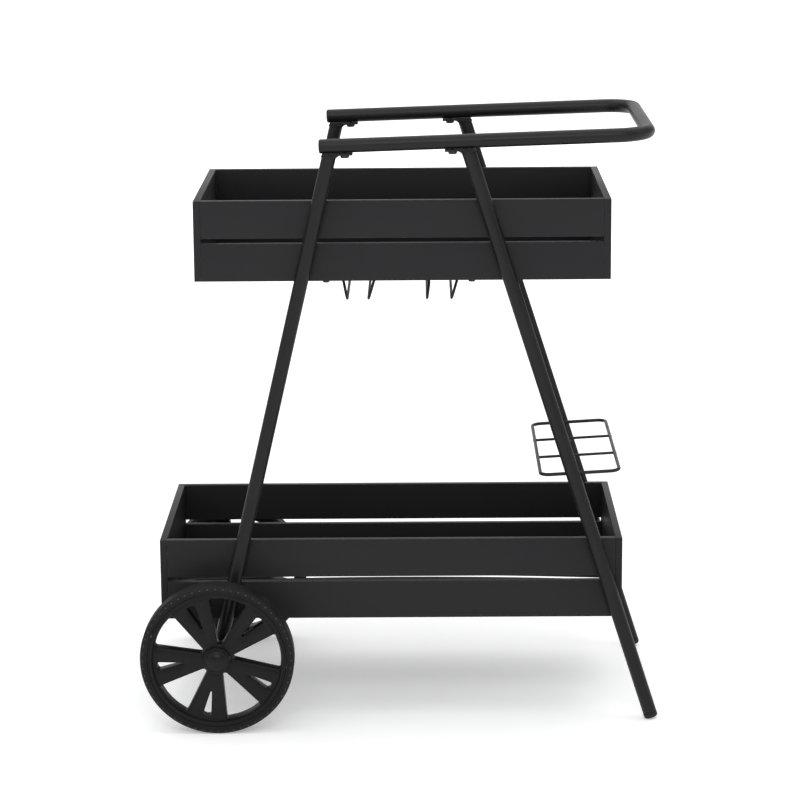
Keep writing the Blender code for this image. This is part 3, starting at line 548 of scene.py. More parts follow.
def screw(under, out, head_radius, head_height, socket, shank=0.010, washer=0.0, sides=48):
    """A screw. Its head's top is a grid of circles: height = edge rounding + crown - recess, and the recess
    is a hexagon (the largest of three distances) or a cross (the smaller of two). A washer may lie under
    the head, and a shank stands below."""
    out = unit(out)
    side = unit(np.cross(out, (0.31, 0.44, 0.57)))
    up = np.cross(out, side)
    share = np.concatenate([[0.0], np.linspace(0.06, 0.86, 22), np.linspace(0.90, 1.0, 5)])
    ring, turn = np.meshgrid(share * head_radius, full_turn(sides), indexing="ij")
    x, y = ring * np.cos(turn), ring * np.sin(turn)
    edge = head_height * 0.42
    inner = np.clip((ring - head_radius + edge) / edge, 0, 1)
    crown = 0.10 * head_height * (ring / head_radius) ** 2
    height = head_height - edge + edge * np.sqrt(1 - inner**2) - crown
    if socket == "hexagon":
        flats = [np.abs(x * math.cos(i * math.pi / 3) + y * math.sin(i * math.pi / 3)) for i in range(3)]
        spread = np.max(flats, axis=0)
        recess = np.clip((head_radius * 0.46 - spread) / (head_radius * 0.05), 0, 1)
    else:
        narrow, wide = np.minimum(np.abs(x), np.abs(y)), np.maximum(np.abs(x), np.abs(y))
        recess = np.clip((head_radius * 0.13 - narrow) / (head_radius * 0.06), 0, 1)
        recess *= np.clip((head_radius * 0.62 - wide) / (head_radius * 0.10), 0, 1)
    height = height - recess * head_height * 0.5
    top = under + (height + washer)[..., None] * out + x[..., None] * side + y[..., None] * up
    skirt = [(head_radius, washer), (head_radius * 0.5, washer)]
    if washer:
        skirt = [(head_radius, washer), (head_radius * 1.22, washer)]
        skirt += [(head_radius * 1.26, washer * 0.7), (head_radius * 1.26, 0.0)]
    skirt += [(SHANK_RADIUS, 0.0), (SHANK_RADIUS, -shank + 0.001), (0.0012, -shank), (0, -shank)]
    below, _ = turned(skirt, under, out, side, sides)
    points = np.concatenate([top, below])
    return points, grid_faces(len(points), sides)


def corner_web(head, down, toward, across_at):
    """The bent web in the corner between leg and tab: the filled corner outside a quarter circle that
    touches both. Its radius falls towards its two sides: WEB_RADIUS sqrt(1 - 0.72 v^2)."""
    into_tab = toward * HANDLE_ALONG
    corner = head + into_tab * TUBE_RADIUS * 0.95 + across_at
    turn, v = np.meshgrid(np.linspace(0, math.pi / 2, 13), np.linspace(-0.98, 0.98, 17), indexing="ij")
    reach = WEB_RADIUS * np.sqrt(1 - v**2 * 0.72)
    sideways = (v * TUBE_RADIUS * 0.72)[..., None] * ACROSS
    points = corner + ((1 - np.sin(turn)) * reach)[..., None] * into_tab
    points += ((1 - np.cos(turn)) * reach)[..., None] * down + sideways
    core = corner - into_tab * 0.003 + sideways[:1]
    loop = np.concatenate([points, core])
    rows, columns = loop.shape[:2]
    sides_closed = [[i * columns + end for i in range(rows)] for end in (0, columns - 1)]
    return loop, grid_faces(rows, columns, close_rows=True, close_columns=False) + sides_closed


SCREW_FINISH, *_ = coated(
    "blackened_screw", SCREW_COLOUR, SCREW_CLOUDY, (0.28, 0.42),
    skin=3000.0, patches=160.0, dusty=0.1, Metallic=0.85,
)
HANDLE_TURN = np.stack([HANDLE_ALONG, ACROSS, HANDLE_UP], 1)
for kind, (head, down, end, toward) in LEG_LINES.items():
    along = (head - HANDLE_CENTRE) @ HANDLE_ALONG
    for side, sign in SIDES.items():
        ends = sorted((along - toward * SADDLE_HEEL, along + toward * SADDLE_REACH))
        middle = handle_point(sum(ends) / 2, sign * LEG_Y, SADDLE_TOP - SADDLE_THICKNESS / 2)
        half = ((ends[1] - ends[0]) / 2, SADDLE_WIDTH / 2, SADDLE_THICKNESS / 2)
        tab = round_block(middle, half, SADDLE_EDGE, HANDLE_TURN)
        web = corner_web(head, down, toward, sign * LEG_Y * ACROSS)
        place = f"{kind}_{side}"
        tab = joined([tab, web])
        make_piece("saddle_tab_" + place, tab, TUBE_COAT, "frame", ["saddle_" + place])
        screw_at = along + toward * SADDLE_SCREW_AT
        under = handle_point(screw_at, sign * LEG_Y, SADDLE_TOP - SADDLE_THICKNESS - GAP / 2)
        fixing = screw(under, -HANDLE_UP, BUTTON_RADIUS, BUTTON_RISE, "hexagon", shank=BUTTON_SHANK)
        node = "handle_screw_" + place
        make_piece("handle_fixing_" + place, fixing, SCREW_FINISH, "frame", [node])


# Feet: a black plastic plug with a rounded head, pushed into the lower end of each foot leg.
FOOT_PLUG = 0.012
foot_profile = [(0, FOOT_LENGTH)]
foot_profile += corner_arc((TUBE_RADIUS - FOOT_ROUND, FOOT_LENGTH - FOOT_ROUND), FOOT_ROUND, 90, 0, 8)
foot_profile += [(TUBE_RADIUS, 0.0004), (TUBE_RADIUS - 0.0004, 0), (TUBE_BORE - 0.0002, 0)]
foot_profile += [(TUBE_BORE - 0.0002, -FOOT_PLUG), (0, -FOOT_PLUG)]
for side, sign in SIDES.items():
    shoulder_at = FOOT_END + sign * LEG_Y * ACROSS - FOOT_DOWN * FOOT_LENGTH
    foot = turned(foot_profile, shoulder_at, FOOT_DOWN, ACROSS)
    make_piece("foot_plug_" + side, foot, PLUG_PLASTIC, "frame", ["foot_cap_" + side])


# Axle: a 10 mm bright steel rod through both wheel legs. A plastic sleeve keeps each hub clear of its leg.
SLEEVE_RADIUS = 0.011
AXLE_RADIUS = 0.005
sleeve_low, sleeve_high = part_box("axle_spacer_near")
SLEEVE_LENGTH = sleeve_high[1] - sleeve_low[1]
SLEEVE_MIDDLE = abs(sleeve_high[1] + sleeve_low[1]) / 2
AXLE_FINISH, *_ = coated(
    "bright_axle_steel", (0.44, 0.44, 0.45, 1), (0.36, 0.35, 0.35, 1), (0.22, 0.38),
    patches=90.0, dusty=0.1, stretch=(1, 0.05, 1), Metallic=1.0,
)
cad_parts["axle"].data.materials.clear()
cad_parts["axle"].data.materials.append(AXLE_FINISH)
half, rim = SLEEVE_LENGTH / 2, SLEEVE_RADIUS
ring = [(AXLE_RADIUS + GAP, half), (rim - 0.0006, half), (rim, half - 0.0006), (rim, half * 0.5)]
ring.append((rim - 0.0004, half * 0.45))
ring += [(r, -y) for r, y in ring[::-1]]
for side, sign in SIDES.items():
    sleeve = turned(ring, AXLE_POINT + sign * SLEEVE_MIDDLE * ACROSS, sign * ACROSS, ring=True)
    make_piece("axle_sleeve_" + side, sleeve, PLUG_PLASTIC, "frame", ["axle_spacer_" + side])


# Wheels: each rim is one moulding of satin black plastic that turns on the axle, a barrel and a hub joined by
# five pairs of spokes. A slot splits each pair and a window parts the pairs. A pushed-on cap ends the axle.
RIM_RADIUS = 0.0995
RIM_HALF = 0.016
BARREL_BORE = 0.0920
RIM_GROOVE = 0.0962
HUB_RADIUS = 0.0195
HUB_HALF = 0.020
SPOKE_HALF = 0.0100
SPOKE_EDGE = 0.0014
SPOKE_SWELL = 0.0022
SPOKE_SWELL_REACH = 0.010
WINDOW_FIRST = math.radians(7)
WINDOW_START = 0.0225
WINDOW_NARROW = 0.0027
WINDOW_WIDE = 0.0272
WINDOW_CORNER = 0.0045
SLOT_START = 0.0495
SLOT_END = 0.0870
SLOT_NARROW = 0.0009
SLOT_WIDE = 0.0062
PAIRS = 5
CAP_RADIUS = 0.017
CAP_HEIGHT = 0.008


def spoke_web():
    """The spokes between barrel and hub, as half a pair turned and mirrored ten times. At each radius r the
    half runs from the slot's edge, arcsin(slot half / r), to the window's edge, 36 degrees - arcsin(window
    half / r). Both half widths grow straight with r and close in a round end. Front and back drop by edge -
    sqrt(edge^2 - (edge - distance)^2) beside an opening, and swell by a sine of the distance from it."""
    r = np.unique(np.concatenate([
        np.linspace(HUB_RADIUS - 0.0015, WINDOW_START + 0.004, 12),
        np.linspace(WINDOW_START + 0.004, SLOT_START, 16),
        SLOT_START + np.array([0.0001, 0.0004, 0.0009, 0.0016, 0.0026, 0.004]),
        np.linspace(SLOT_START + 0.006, SLOT_END - 0.004, 16),
        SLOT_END - np.array([0.003, 0.0022, 0.0015, 0.0009, 0.0005, 0.0002, 0.00005]),
        BARREL_BORE - np.array([0.0045, 0.0038, 0.0030, 0.0022, 0.0015, 0.0009, 0.0004, 0.0001]),
        [BARREL_BORE + 0.0008, BARREL_BORE + 0.0016],
    ]))
    start = np.clip((r - WINDOW_START) / 0.0035, 0, 1)
    out = (r - WINDOW_START) / (BARREL_BORE - WINDOW_START)
    window = (WINDOW_NARROW + (WINDOW_WIDE - WINDOW_NARROW) * out) * np.sqrt(start * (2 - start))
    into = np.clip((r - BARREL_BORE + WINDOW_CORNER) / WINDOW_CORNER, 0, 1)
    window = window - WINDOW_CORNER * (1 - np.sqrt(1 - into**2))
    window = np.where((r <= WINDOW_START) | (r >= BARREL_BORE), 0.0, np.maximum(window, 0))
    grow = np.clip((r - SLOT_START) / (SLOT_END - SLOT_START), 0, 1)
    tip = np.clip((r - SLOT_START) / 0.0016, 0, 1)
    close = np.clip((SLOT_END - r) / 0.0035, 0, 1)
    slot = SLOT_NARROW * np.sqrt(tip * (2 - tip)) + (SLOT_WIDE - SLOT_NARROW) * grow
    slot = slot * np.sqrt(close * (2 - close))
    slot = np.where((r <= SLOT_START) | (r >= SLOT_END), 0.0, slot)
    sector = math.pi / PAIRS
    first = np.arcsin(slot / r) * r
    last = (sector - np.arcsin(np.clip(window / r, 0, 1))) * r
    width = (last - first)[:, None]
    near = np.minimum(SPOKE_EDGE * np.array([0, 0.12, 0.3, 0.55, 0.8, 1.0]), width * 0.45)
    inside = near[:, -1:] + (width - 2 * near[:, -1:]) * np.linspace(0, 1, 8)[None, 1:-1]
    from_slot = np.concatenate([near, inside, (width - near)[:, ::-1]], 1)
    drop = np.zeros_like(from_slot)
    inland = np.full_like(from_slot, SPOKE_SWELL_REACH)
    from_window = width - from_slot
    for distance, start, end in ((from_slot, SLOT_START, SLOT_END), (from_window, WINDOW_START, BARREL_BORE)):
        past = np.maximum(np.maximum(start - r, r - end), 0)[:, None]
        away = np.hypot(distance, past)
        inland = np.minimum(inland, away)
        short = np.clip(SPOKE_EDGE - away, 0, SPOKE_EDGE)
        drop = drop + SPOKE_EDGE - np.sqrt(SPOKE_EDGE**2 - short**2)
    toward_hub = np.clip(1 - (r - HUB_RADIUS) / 0.03, 0, 1)[:, None]
    swell = SPOKE_SWELL * np.sin(inland / SPOKE_SWELL_REACH * math.pi / 2)
    thick = SPOKE_HALF - SPOKE_SWELL / 2 + swell + 0.0012 * toward_hub - drop
    angle = (first[:, None] + from_slot) / r[:, None]
    rows, columns = angle.shape
    skin = grid_faces(rows, columns, close_columns=False)
    count = rows * columns
    wall = []
    for column, gap in ((0, slot), (columns - 1, window)):
        row = np.flatnonzero((gap[:-1] > 0) | (gap[1:] > 0))
        a, b = row * columns + column, (row + 1) * columns + column
        wall += np.stack([a, b, b + count, a + count], 1).tolist()
    for row in (0, rows - 1):
        a = row * columns + np.arange(columns - 1)
        wall += np.stack([a, a + 1, a + 1 + count, a + count], 1).tolist()
    faces = skin + [[index + count for index in face] for face in skin] + wall
    shapes = []
    for pair in range(PAIRS):
        for flip in (1, -1):
            turn = WINDOW_FIRST + sector + pair * 2 * sector + flip * angle
            ring = np.stack([r[:, None] * np.cos(turn), r[:, None] * np.sin(turn)], -1)
            front = np.concatenate([ring, thick[..., None]], -1)
            back = np.concatenate([ring, -thick[..., None]], -1)
            shapes.append((np.concatenate([front.reshape(-1, 3), back.reshape(-1, 3)]), faces))
    return joined(shapes)


def laid_wheel(points, middle, sign):
    """Turns a shape made about Z so that its front looks away from the cart and its X runs along the cart."""
    return middle + np.asarray(points).reshape(-1, 3)[:, [0, 2, 1]] * [1, sign, 1]


def wheel_middle(node):
    """The middle of one of a wheel's pieces: on the axle, halfway across its CAD box."""
    return np.array([AXLE_POINT[0], box_of(node)[2][1], AXLE_POINT[2]])


barrel = [(BARREL_BORE - 0.0008, 0.0), (BARREL_BORE - 0.0005, SPOKE_HALF)]
barrel.append((BARREL_BORE + 0.0012, RIM_HALF - 0.0012))
barrel += corner_arc((BARREL_BORE + 0.0024, RIM_HALF - 0.0011), 0.0011, 180, 90, 4)
barrel += [(RIM_GROOVE, RIM_HALF), (RIM_GROOVE + 0.0002, RIM_HALF - 0.0004)]
barrel += [(RIM_GROOVE + 0.0008, RIM_HALF - 0.0004), (RIM_GROOVE + 0.0010, RIM_HALF)]
barrel += corner_arc((RIM_RADIUS - 0.0010, RIM_HALF - 0.0010), 0.0010, 90, 0, 4)
barrel_profile = barrel + [(r, -y) for r, y in barrel[:0:-1]]
hub = [(AXLE_RADIUS + 0.0004, HUB_HALF), (HUB_RADIUS - 0.0015, HUB_HALF)]
hub += corner_arc((HUB_RADIUS - 0.0015, HUB_HALF - 0.0015), 0.0015, 80, 0, 5)
hub += [(HUB_RADIUS + 0.0003, SPOKE_HALF + 0.0030), (HUB_RADIUS + 0.0013, SPOKE_HALF + 0.0012)]
hub.append((HUB_RADIUS + 0.0030, SPOKE_HALF + 0.0001))
hub_profile = hub + [(HUB_RADIUS - 0.002, 0.0)] + [(r, -y) for r, y in hub[::-1]]
RIM_FINISH, *_ = coated(
    "moulded_rim_plastic", (0.0080, 0.0078, 0.0080, 1), (0.0115, 0.0110, 0.0110, 1), (0.34, 0.48),
    skin=1500.0, depth=0.00005, patches=26.0, Specular_IOR_Level=0.14,
)
CAP_FINISH, *_ = coated(
    "polished_cap_plastic", (0.0085, 0.0082, 0.0088, 1), (0.0115, 0.0110, 0.0112, 1), (0.26, 0.36),
    skin=1900.0, depth=0.00003, patches=40.0, Specular_IOR_Level=0.15,
)
dome = [(0, 0), (0.0030, 0.0001), (0.0065, 0.0007), (0.0100, 0.0019), (0.0128, 0.0038), (0.0146, 0.0052)]
dome = [(r, CAP_HEIGHT - drop) for r, drop in dome + [(0.0150, 0.0057), (0.0153, 0.0056)]]
dome += corner_arc((CAP_RADIUS - 0.0010, 0.0014), 0.0010, 90, 0, 4)
dome += [(CAP_RADIUS, 0.0003), (CAP_RADIUS - 0.0004, 0.0)]
dome += [(AXLE_RADIUS + 0.0004, 0.0), (AXLE_RADIUS + 0.0004, 0.0042), (0, 0.0042)]
ORIGIN = np.zeros(3)
UPWARDS = (0, 0, 1)
whole_rim = joined([
    spoke_web(),
    turned(barrel_profile, ORIGIN, UPWARDS, sides=160, ring=True),
    turned(hub_profile, ORIGIN, UPWARDS, sides=72, ring=True),
])
for side, sign in SIDES.items():
    node = "wheel_rim_" + side
    middle = wheel_middle(node)
    rim = laid_wheel(whole_rim[0], middle, sign), whole_rim[1]
    make_piece("spoked_rim_" + side, rim, RIM_FINISH, "wheel_" + side, [node], smooth=32)
    cap = turned(dome, middle + sign * (HUB_HALF + GAP) * ACROSS, sign * ACROSS, sides=72)
    make_piece("hub_cap_" + side, cap, CAP_FINISH, "frame", ["axle_cap_" + side])


# Tyres: a matt black rubber tyre pressed on each rim, with round shoulders, a parting line round the tread
# and a ring of small moulded pips on each side wall, their proud tops given a painted highlight.
TYRE_RADIUS = 0.1105
TYRE_HALF = 0.017
SHOULDER = 0.006
WALL_GROOVE = 0.1022
PIP_RING = 0.1062
PIPS = 60
# Lighter grey painted on the pips' proud tops: a painted highlight standing in for small glints.
PIP_HIGHLIGHT_COLOUR = (0.10, 0.098, 0.095, 1)
RUBBER, tree, shader, dusted = coated(
    "tyre_rubber", (0.0105, 0.0102, 0.0100, 1), (0.0165, 0.016, 0.0155, 1), (0.56, 0.74),
    skin=2600.0, depth=0.00005, patches=30.0, dusty=0.6, strength=0.7, Specular_IOR_Level=0.13,
)
pip_mask = add_node(tree, "ShaderNodeAttribute", attribute_name="pip_highlight_mask")
pip_highlighted = blended(tree, pip_mask.outputs["Fac"], dusted.outputs[2], PIP_HIGHLIGHT_COLOUR)
tree.links.new(pip_highlighted.outputs[2], shader.inputs["Base Color"])
wall = [(RIM_RADIUS + GAP, 0.0), (RIM_RADIUS + GAP, TYRE_HALF - 0.0020)]
wall += corner_arc((RIM_RADIUS + GAP + 0.0012, TYRE_HALF - 0.0014), 0.0012, 180, 90, 5)
wall += [(WALL_GROOVE, TYRE_HALF - 0.0002), (WALL_GROOVE + 0.0002, TYRE_HALF - 0.0007)]
wall += [(WALL_GROOVE + 0.0007, TYRE_HALF - 0.0007), (WALL_GROOVE + 0.0009, TYRE_HALF - 0.0001)]
wall += corner_arc((TYRE_RADIUS - SHOULDER, TYRE_HALF - SHOULDER), SHOULDER, 90, 2, 10)
wall += [(TYRE_RADIUS, TYRE_HALF - SHOULDER - 0.0004), (TYRE_RADIUS, 0.0009), (TYRE_RADIUS, 0.0005)]
tyre_profile = wall + [(TYRE_RADIUS, 0.0)] + [(r, -y) for r, y in wall[:0:-1]]


def pip_ring(count, height):
    """Small domes on a ring, longer round it than across it. Each is a grid of rings whose height falls as
    the cosine of the share of its reach."""
    share, turn = np.meshgrid(np.linspace(0, 1, 5), full_turn(10), indexing="ij")
    along, outward = 0.0015 * share * np.cos(turn), 0.0009 * share * np.sin(turn)
    rise = height + 0.0009 * np.cos(share * math.pi / 2) - 0.0005
    r = PIP_RING + outward
    shapes = []
    for angle in full_turn(count):
        x = r * math.cos(angle) - along * math.sin(angle)
        y = r * math.sin(angle) + along * math.cos(angle)
        shapes.append((np.stack([x, y, rise], -1), grid_faces(5, 10) + [list(range(40, 50))]))
    return joined(shapes)


ring = turned(tyre_profile, ORIGIN, UPWARDS, sides=192, ring=True)
front = pip_ring(PIPS, TYRE_HALF)
whole_tyre = joined([ring, front, (front[0] * [1, 1, -1], front[1])])
for side, sign in SIDES.items():
    node = "wheel_tyre_" + side
    middle = wheel_middle(node)
    tyre = laid_wheel(whole_tyre[0], middle, sign), whole_tyre[1]
    tyre = make_piece("tyre_" + side, tyre, RUBBER, "wheel_" + side, [node])
    # Marks the pips' proud tops, which the tyre's shader paints with the lighter painted highlight.
    places = mesh_places(tyre) - middle
    round_part = np.clip(np.hypot(places[:, 0], places[:, 2]) - (TYRE_RADIUS - SHOULDER), 0, SHOULDER)
    proud = np.abs(places[:, 1]) - (TYRE_HALF - SHOULDER + np.sqrt(SHOULDER**2 - round_part**2))
    pip_highlight_mask = np.clip((proud - 0.0001) / 0.0003, 0, 1).astype(np.float32)
    tyre.data.attributes.new("pip_highlight_mask", "FLOAT", "POINT").data.foreach_set("value", pip_highlight_mask)


# Trays: boards about 10 mm thick, sprayed satin black. Each long side is two boards with a slot between them,
# butted against solid end boards. The spray wears thin along the edges.
BOARD_EDGE = 0.0007
BUTT_GROW = 0.0002
RUB_REACH = 0.0016
RUB_SHARE = 0.55
BOARD_COLOUR = (0.0145, 0.0142, 0.0158, 1)
BOARD_CLOUDY = (0.0180, 0.0176, 0.0188, 1)
BOARD_RUBBED = (0.060, 0.056, 0.053, 1)

RUB, given, result = new_group(
    "edge_rub",
    [
        ("Local", "NodeSocketVector", None), ("Half", "NodeSocketVector", None),
        ("Breakup", "NodeSocketFloat", 0.5), ("Reach", "NodeSocketFloat", RUB_REACH),
    ],
    ["Rub"],
)
bare = add_node(RUB, "ShaderNodeVectorMath", {0: given["Local"]}, operation="ABSOLUTE").outputs[0]
inset = add_node(RUB, "ShaderNodeVectorMath", {0: given["Half"], 1: bare}, operation="SUBTRACT").outputs[0]
axes = add_node(RUB, "ShaderNodeSeparateXYZ", {"Vector": inset}).outputs
# The second smallest depth below a board's faces is small along its edges and nowhere else.
inner = of_two(RUB, of_two(RUB, axes[0], axes[1], "MAXIMUM"), axes[2], "MINIMUM")
second = of_two(RUB, of_two(RUB, axes[0], axes[1], "MINIMUM"), inner, "MAXIMUM")
close = ranged(RUB, second, 0, given["Reach"], 1.0, 0.0)
broken = ranged(RUB, given["Breakup"], 0.42, 0.70)
RUB.links.new(of_two(RUB, close, broken, "MULTIPLY"), result["Rub"])


def board_paint(name, stretch):
    """Satin black spray with a faint grain along the board and worn edges, found from each point's own place
    in its board."""
    made, tree, shader, dusted = coated(
        name, BOARD_COLOUR, BOARD_CLOUDY, (0.40, 0.52), skin=700.0, depth=0.00009, patches=9.0,
        stretch=stretch, dusty=0.3, strength=0.45, Specular_IOR_Level=0.15,
    )
    local = add_node(tree, "ShaderNodeAttribute", attribute_name="board_place")
    half = add_node(tree, "ShaderNodeAttribute", attribute_name="board_half")
    where = add_node(tree, "ShaderNodeTexCoord").outputs["Object"]
    breakup = add_node(tree, "ShaderNodeTexNoise", {"Vector": where, "Scale": 130.0, "Detail": 3.0})
    rub_node = add_node(tree, "ShaderNodeGroup", node_tree=RUB)
    rub_node.inputs["Reach"].default_value = RUB_REACH
    tree.links.new(local.outputs["Vector"], rub_node.inputs["Local"])
    tree.links.new(half.outputs["Vector"], rub_node.inputs["Half"])
    tree.links.new(breakup.outputs["Fac"], rub_node.inputs["Breakup"])
    amount = of_two(tree, rub_node.outputs["Rub"], RUB_SHARE, "MULTIPLY")
    worn = blended(tree, amount, dusted.outputs[2], BOARD_RUBBED)
    tree.links.new(worn.outputs[2], shader.inputs["Base Color"])
    return made


LONG_PAINT = board_paint("sprayed_long_board", (0.25, 1, 1))
END_PAINT = board_paint("sprayed_end_board", (1, 0.25, 1))


def board(name, node, finish, grow=0.0):
    """A board in the CAD board's box, a little longer at its butted ends so that the joint is a hairline."""
    low, high, middle = box_of(node)
    half = (high - low) / 2 + [grow, 0, 0]
    shape = round_block(middle, half, BOARD_EDGE * (0.75 if grow else 1))
    made = make_piece(name, shape, finish, "frame", [node])
    local = mesh_places(made) - middle
    for attribute, values in (("board_place", local), ("board_half", np.broadcast_to(half, local.shape))):
        values = np.ascontiguousarray(values, np.float32).ravel()
        made.data.attributes.new(attribute, "FLOAT_VECTOR", "POINT").data.foreach_set("vector", values)


for tray in ("top", "bottom"):
    for end in ("left", "right"):
        board(f"{tray}_{end}_end_board", f"{tray}_{end}_end", END_PAINT)
    for side in SIDES:
        for level in ("lower", "upper"):
            place = f"{tray}_{side}_{level}"
            board(place + "_side_board", place + "_board", LONG_PAINT, grow=BUTT_GROW)


# Tray floors: two thin black painted sheets to a tray, let into its boards, with a 10 mm gap along the
# middle. The bottom pair bow up a few millimetres along their length.
FLOOR_SHEET = 0.001
FLOOR_CROWN = {"top": 0.0, "bottom": 0.006}
FLOOR_FINISH, *_ = coated(
    "painted_floor_sheet", (0.0125, 0.0125, 0.0127, 1), (0.0165, 0.016, 0.0158, 1), (0.36, 0.50),
    skin=800.0, patches=11.0, dusty=0.8,
)
lip = FLOOR_SHEET * 0.3
share = np.linspace(-1, 1, 61)
for tray, crown in FLOOR_CROWN.items():
    for side in SIDES:
        node = f"{tray}_{side}_floor"
        low, high, middle = box_of(node)
        x = middle[0] + share * (high[0] - low[0]) / 2
        y = low[1] + lip * np.array([1, 0, 0, 1])
        y = np.concatenate([y, high[1] - lip * np.array([1, 0, 0, 1])])
        lift = [0, lip, FLOOR_SHEET - lip, FLOOR_SHEET, FLOOR_SHEET, FLOOR_SHEET - lip, lip, 0]
        z = low[2] + (crown * (1 - share**2))[:, None] + lift
        points = np.stack(np.broadcast_arrays(x[:, None], y, z), -1)
        count = z.size
        faces = grid_faces(*z.shape) + [list(range(8)), list(range(count - 8, count))]
        sheet = node + "_sheet"
        make_piece(sheet, (points, faces), FLOOR_FINISH, "frame", [node])


# Tray screws: eight black pan-head screws with a cross recess, driven from inside the trays into the legs.
SCREW_HEAD = 0.0050
SCREW_RISE = 0.0028
TRAY_SHANK = 0.017
for tray in ("top", "bottom"):
    for kind in LEG_LINES:
        for side, sign in SIDES.items():
            node = f"{tray}_tray_screw_{kind}_{side}"
            low, high, middle = box_of(node)
            middle[1] = (low[1] if sign > 0 else high[1]) + sign * SCREW_RISE
            fixing = screw(middle, (0, -sign, 0), SCREW_HEAD, SCREW_RISE, "cross", shank=TRAY_SHANK)
            make_piece(f"{tray}_fixing_{kind}_{side}", fixing, SCREW_FINISH, "frame", [node])


# Bottle rack: a ring of 5 mm wire crossed by two 4 mm wires, which makes three bottle cells between the foot
# legs. Everything is spot-welded, and two flat tabs hang down the legs' insides, each held by a screw.
RACK_HEIGHT = 0.3653
RACK_LENGTH = 0.1130
RACK_SET_OUT = 0.0107
RACK_TILT = math.radians(3.2)
RACK_WIRE = 0.0025
RACK_CROSS_WIRE = 0.002
RACK_CORNER = 0.014
RACK_CELLS = 3
RACK_TAB = (0.012, 0.002, 0.038)
RACK_SCREW_DROP = 0.031
RACK_HALF_DEPTH = LEG_Y - TUBE_RADIUS - GAP - RACK_TAB[1] - RACK_WIRE + 0.0004
WIRE_COAT, *_ = coated(
    "wire_powder_coat", (0.0105, 0.0102, 0.0102, 1), (0.0150, 0.0145, 0.0145, 1), (0.36, 0.48),
    skin=1700.0, patches=40.0,
)
leg_at = FOOT_HEAD[0] + FOOT_DOWN[0] * (RACK_HEIGHT - FOOT_HEAD[2]) / FOOT_DOWN[2]
rack_middle = leg_at + RACK_SET_OUT


def rack_point(x, y):
    """A place in the rack's tilted plane."""
    return np.array([x, y, RACK_HEIGHT + (x - rack_middle) * math.tan(RACK_TILT)])


def weld_spot(place, radius):
    """A flattened ball of weld, as a grid of rings over it, a little wider than it is high."""
    over = np.linspace(0, math.pi, 9)
    profile = np.stack([radius * np.sin(over), 0.8 * radius * np.cos(over)], -1)
    return turned(profile, place, (0.1, 0.05, 1), sides=14)


low_x, high_x = rack_middle - RACK_LENGTH / 2, rack_middle + RACK_LENGTH / 2
corners = [(low_x, -1), (high_x, -1), (high_x, 1), (low_x, 1)]
corners = [rack_point(x, y * RACK_HALF_DEPTH) for x, y in corners]
shapes = [rod(rounded_route(corners, RACK_CORNER, closed=True, steps=12), RACK_WIRE, 22, closed=True)]
for cell in range(1, RACK_CELLS):
    y = RACK_HALF_DEPTH * (2 * cell / RACK_CELLS - 1)
    run = np.linspace(0, 1, 5)[:, None]
    shapes.append(rod(rack_point(low_x, y) * (1 - run) + rack_point(high_x, y) * run, RACK_CROSS_WIRE, 18))
    shapes += [weld_spot(rack_point(x, y), RACK_WIRE * 1.22) for x in (low_x, high_x)]
TAB_SIDE = np.array([math.cos(FOOT_LEAN), 0, math.sin(FOOT_LEAN)])
for sign in SIDES.values():
    hang = rack_point(leg_at, sign * (LEG_Y - TUBE_RADIUS - GAP - RACK_TAB[1] / 2))
    drop = RACK_TAB[2] + RACK_WIRE
    middle = hang + FOOT_DOWN * (drop / 2 - RACK_WIRE)
    half = (RACK_TAB[0] / 2, RACK_TAB[1] / 2, drop / 2)
    shapes.append(round_block(middle, half, 0.0006, np.stack([TAB_SIDE, ACROSS, -FOOT_DOWN], 1)))
    shapes += [weld_spot(hang + TAB_SIDE * x - ACROSS * sign * 0.0014, 0.0020) for x in (-0.0045, 0.0045)]
make_piece("bottle_grid", joined(shapes), WIRE_COAT, "frame", ["bottle_rack"])
for side, sign in SIDES.items():
    under = rack_point(leg_at, sign * (LEG_Y - TUBE_RADIUS - GAP - RACK_TAB[1] - GAP / 2))
    under = under + FOOT_DOWN * RACK_SCREW_DROP
    fixing = screw(under, (0, -sign, 0), SCREW_HEAD, SCREW_RISE, "cross")
    make_piece("grid_fixing_" + side, fixing, SCREW_FINISH, "frame", ["rack_screw_" + side])


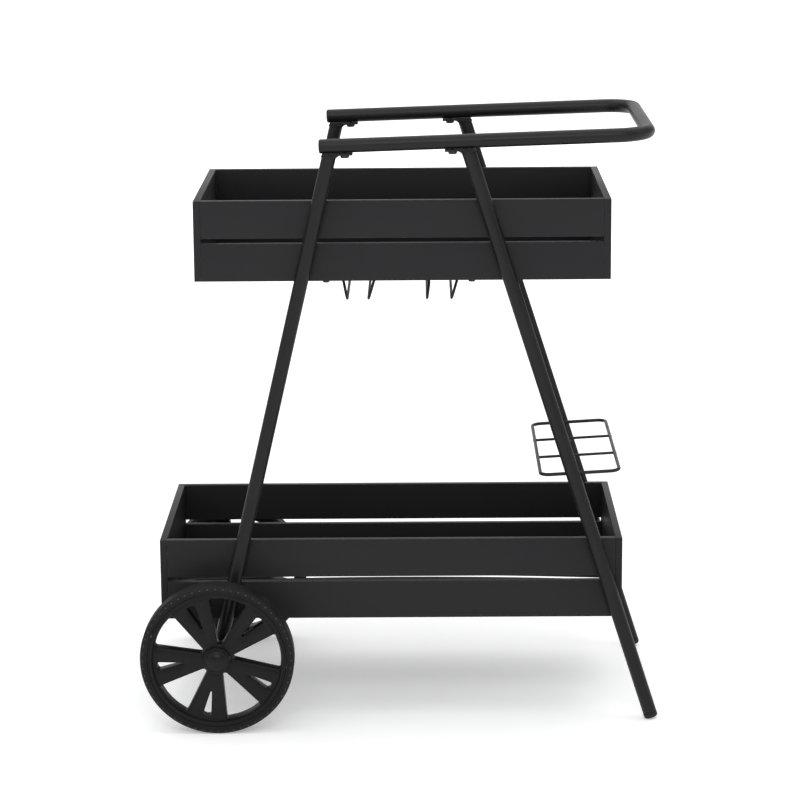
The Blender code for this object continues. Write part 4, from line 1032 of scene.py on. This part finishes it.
# Stemware rack: one 4 mm wire bent into two long loops, which hang under the top tray and hold the feet of
# stemmed glasses. Four washer-head screws clamp its high stretches up against the floor sheets.
STEM_WIRE = 0.002
STEM_RAILS = (-0.0722, -0.0420, 0.0412, 0.0760)
STEM_DROP = 0.031
STEM_NEAR = -0.140
STEM_FAR = 0.128
STEM_NEAR_RUN = 0.010
STEM_FAR_RUN = 0.008
STEM_FLARE = 0.030
STEM_ENDS = (-0.107, 0.110)
STEM_SPLAY = (-0.006, 0.009, 0.004, 0.009)
STEM_BEND = 0.007
STEM_SCREW_HEAD = 0.0047
STEM_WASHER = 0.0007
STEM_SHANK = 0.0060
tray_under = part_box("top_near_lower_board")[0][2]
high_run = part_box("top_near_floor")[0][2] - GAP - STEM_WIRE
low_run = tray_under - STEM_DROP
rise_at, back_at = STEM_NEAR + STEM_NEAR_RUN, STEM_FAR + STEM_FAR_RUN
one, two, three, four = STEM_RAILS


def loop_pair(first, second):
    """One loop: back along the first rail, out and up round its far end, and forward along the second."""
    out = []
    for rail, toward in ((first, -1), (second, 1)):
        wide = rail + toward * STEM_FLARE
        half = [(rail, STEM_NEAR, low_run), (rail, STEM_FAR - STEM_FLARE, low_run)]
        half += [(wide, STEM_FAR, low_run), (wide, back_at, high_run)]
        out += half if toward < 0 else half[::-1]
    return out


one_out, two_out, three_out, four_out = (
    (rail + splay, rise_at, high_run) for rail, splay in zip(STEM_RAILS, STEM_SPLAY)
)
bends = [(STEM_ENDS[0], rise_at, high_run), one_out] + loop_pair(one, two)
bends += [two_out, three_out] + loop_pair(three, four)
bends += [four_out, (STEM_ENDS[1], rise_at, high_run)]
wire = rod(rounded_route(bends, STEM_BEND, steps=9), STEM_WIRE, 18)
make_piece("stemware_wire", wire, WIRE_COAT, "frame", ["stemware_rack"])
for place in ("near_left", "near_right", "far_left", "far_right"):
    node = "stem_screw_" + place
    low, high, middle = box_of(node)
    middle[2] = low[2] + SCREW_RISE
    fixing = screw(
        middle, (0, 0, -1), STEM_SCREW_HEAD, SCREW_RISE - STEM_WASHER, "cross", STEM_SHANK, STEM_WASHER
    )
    make_piece("stem_fixing_" + place, fixing, SCREW_FINISH, "frame", [node])
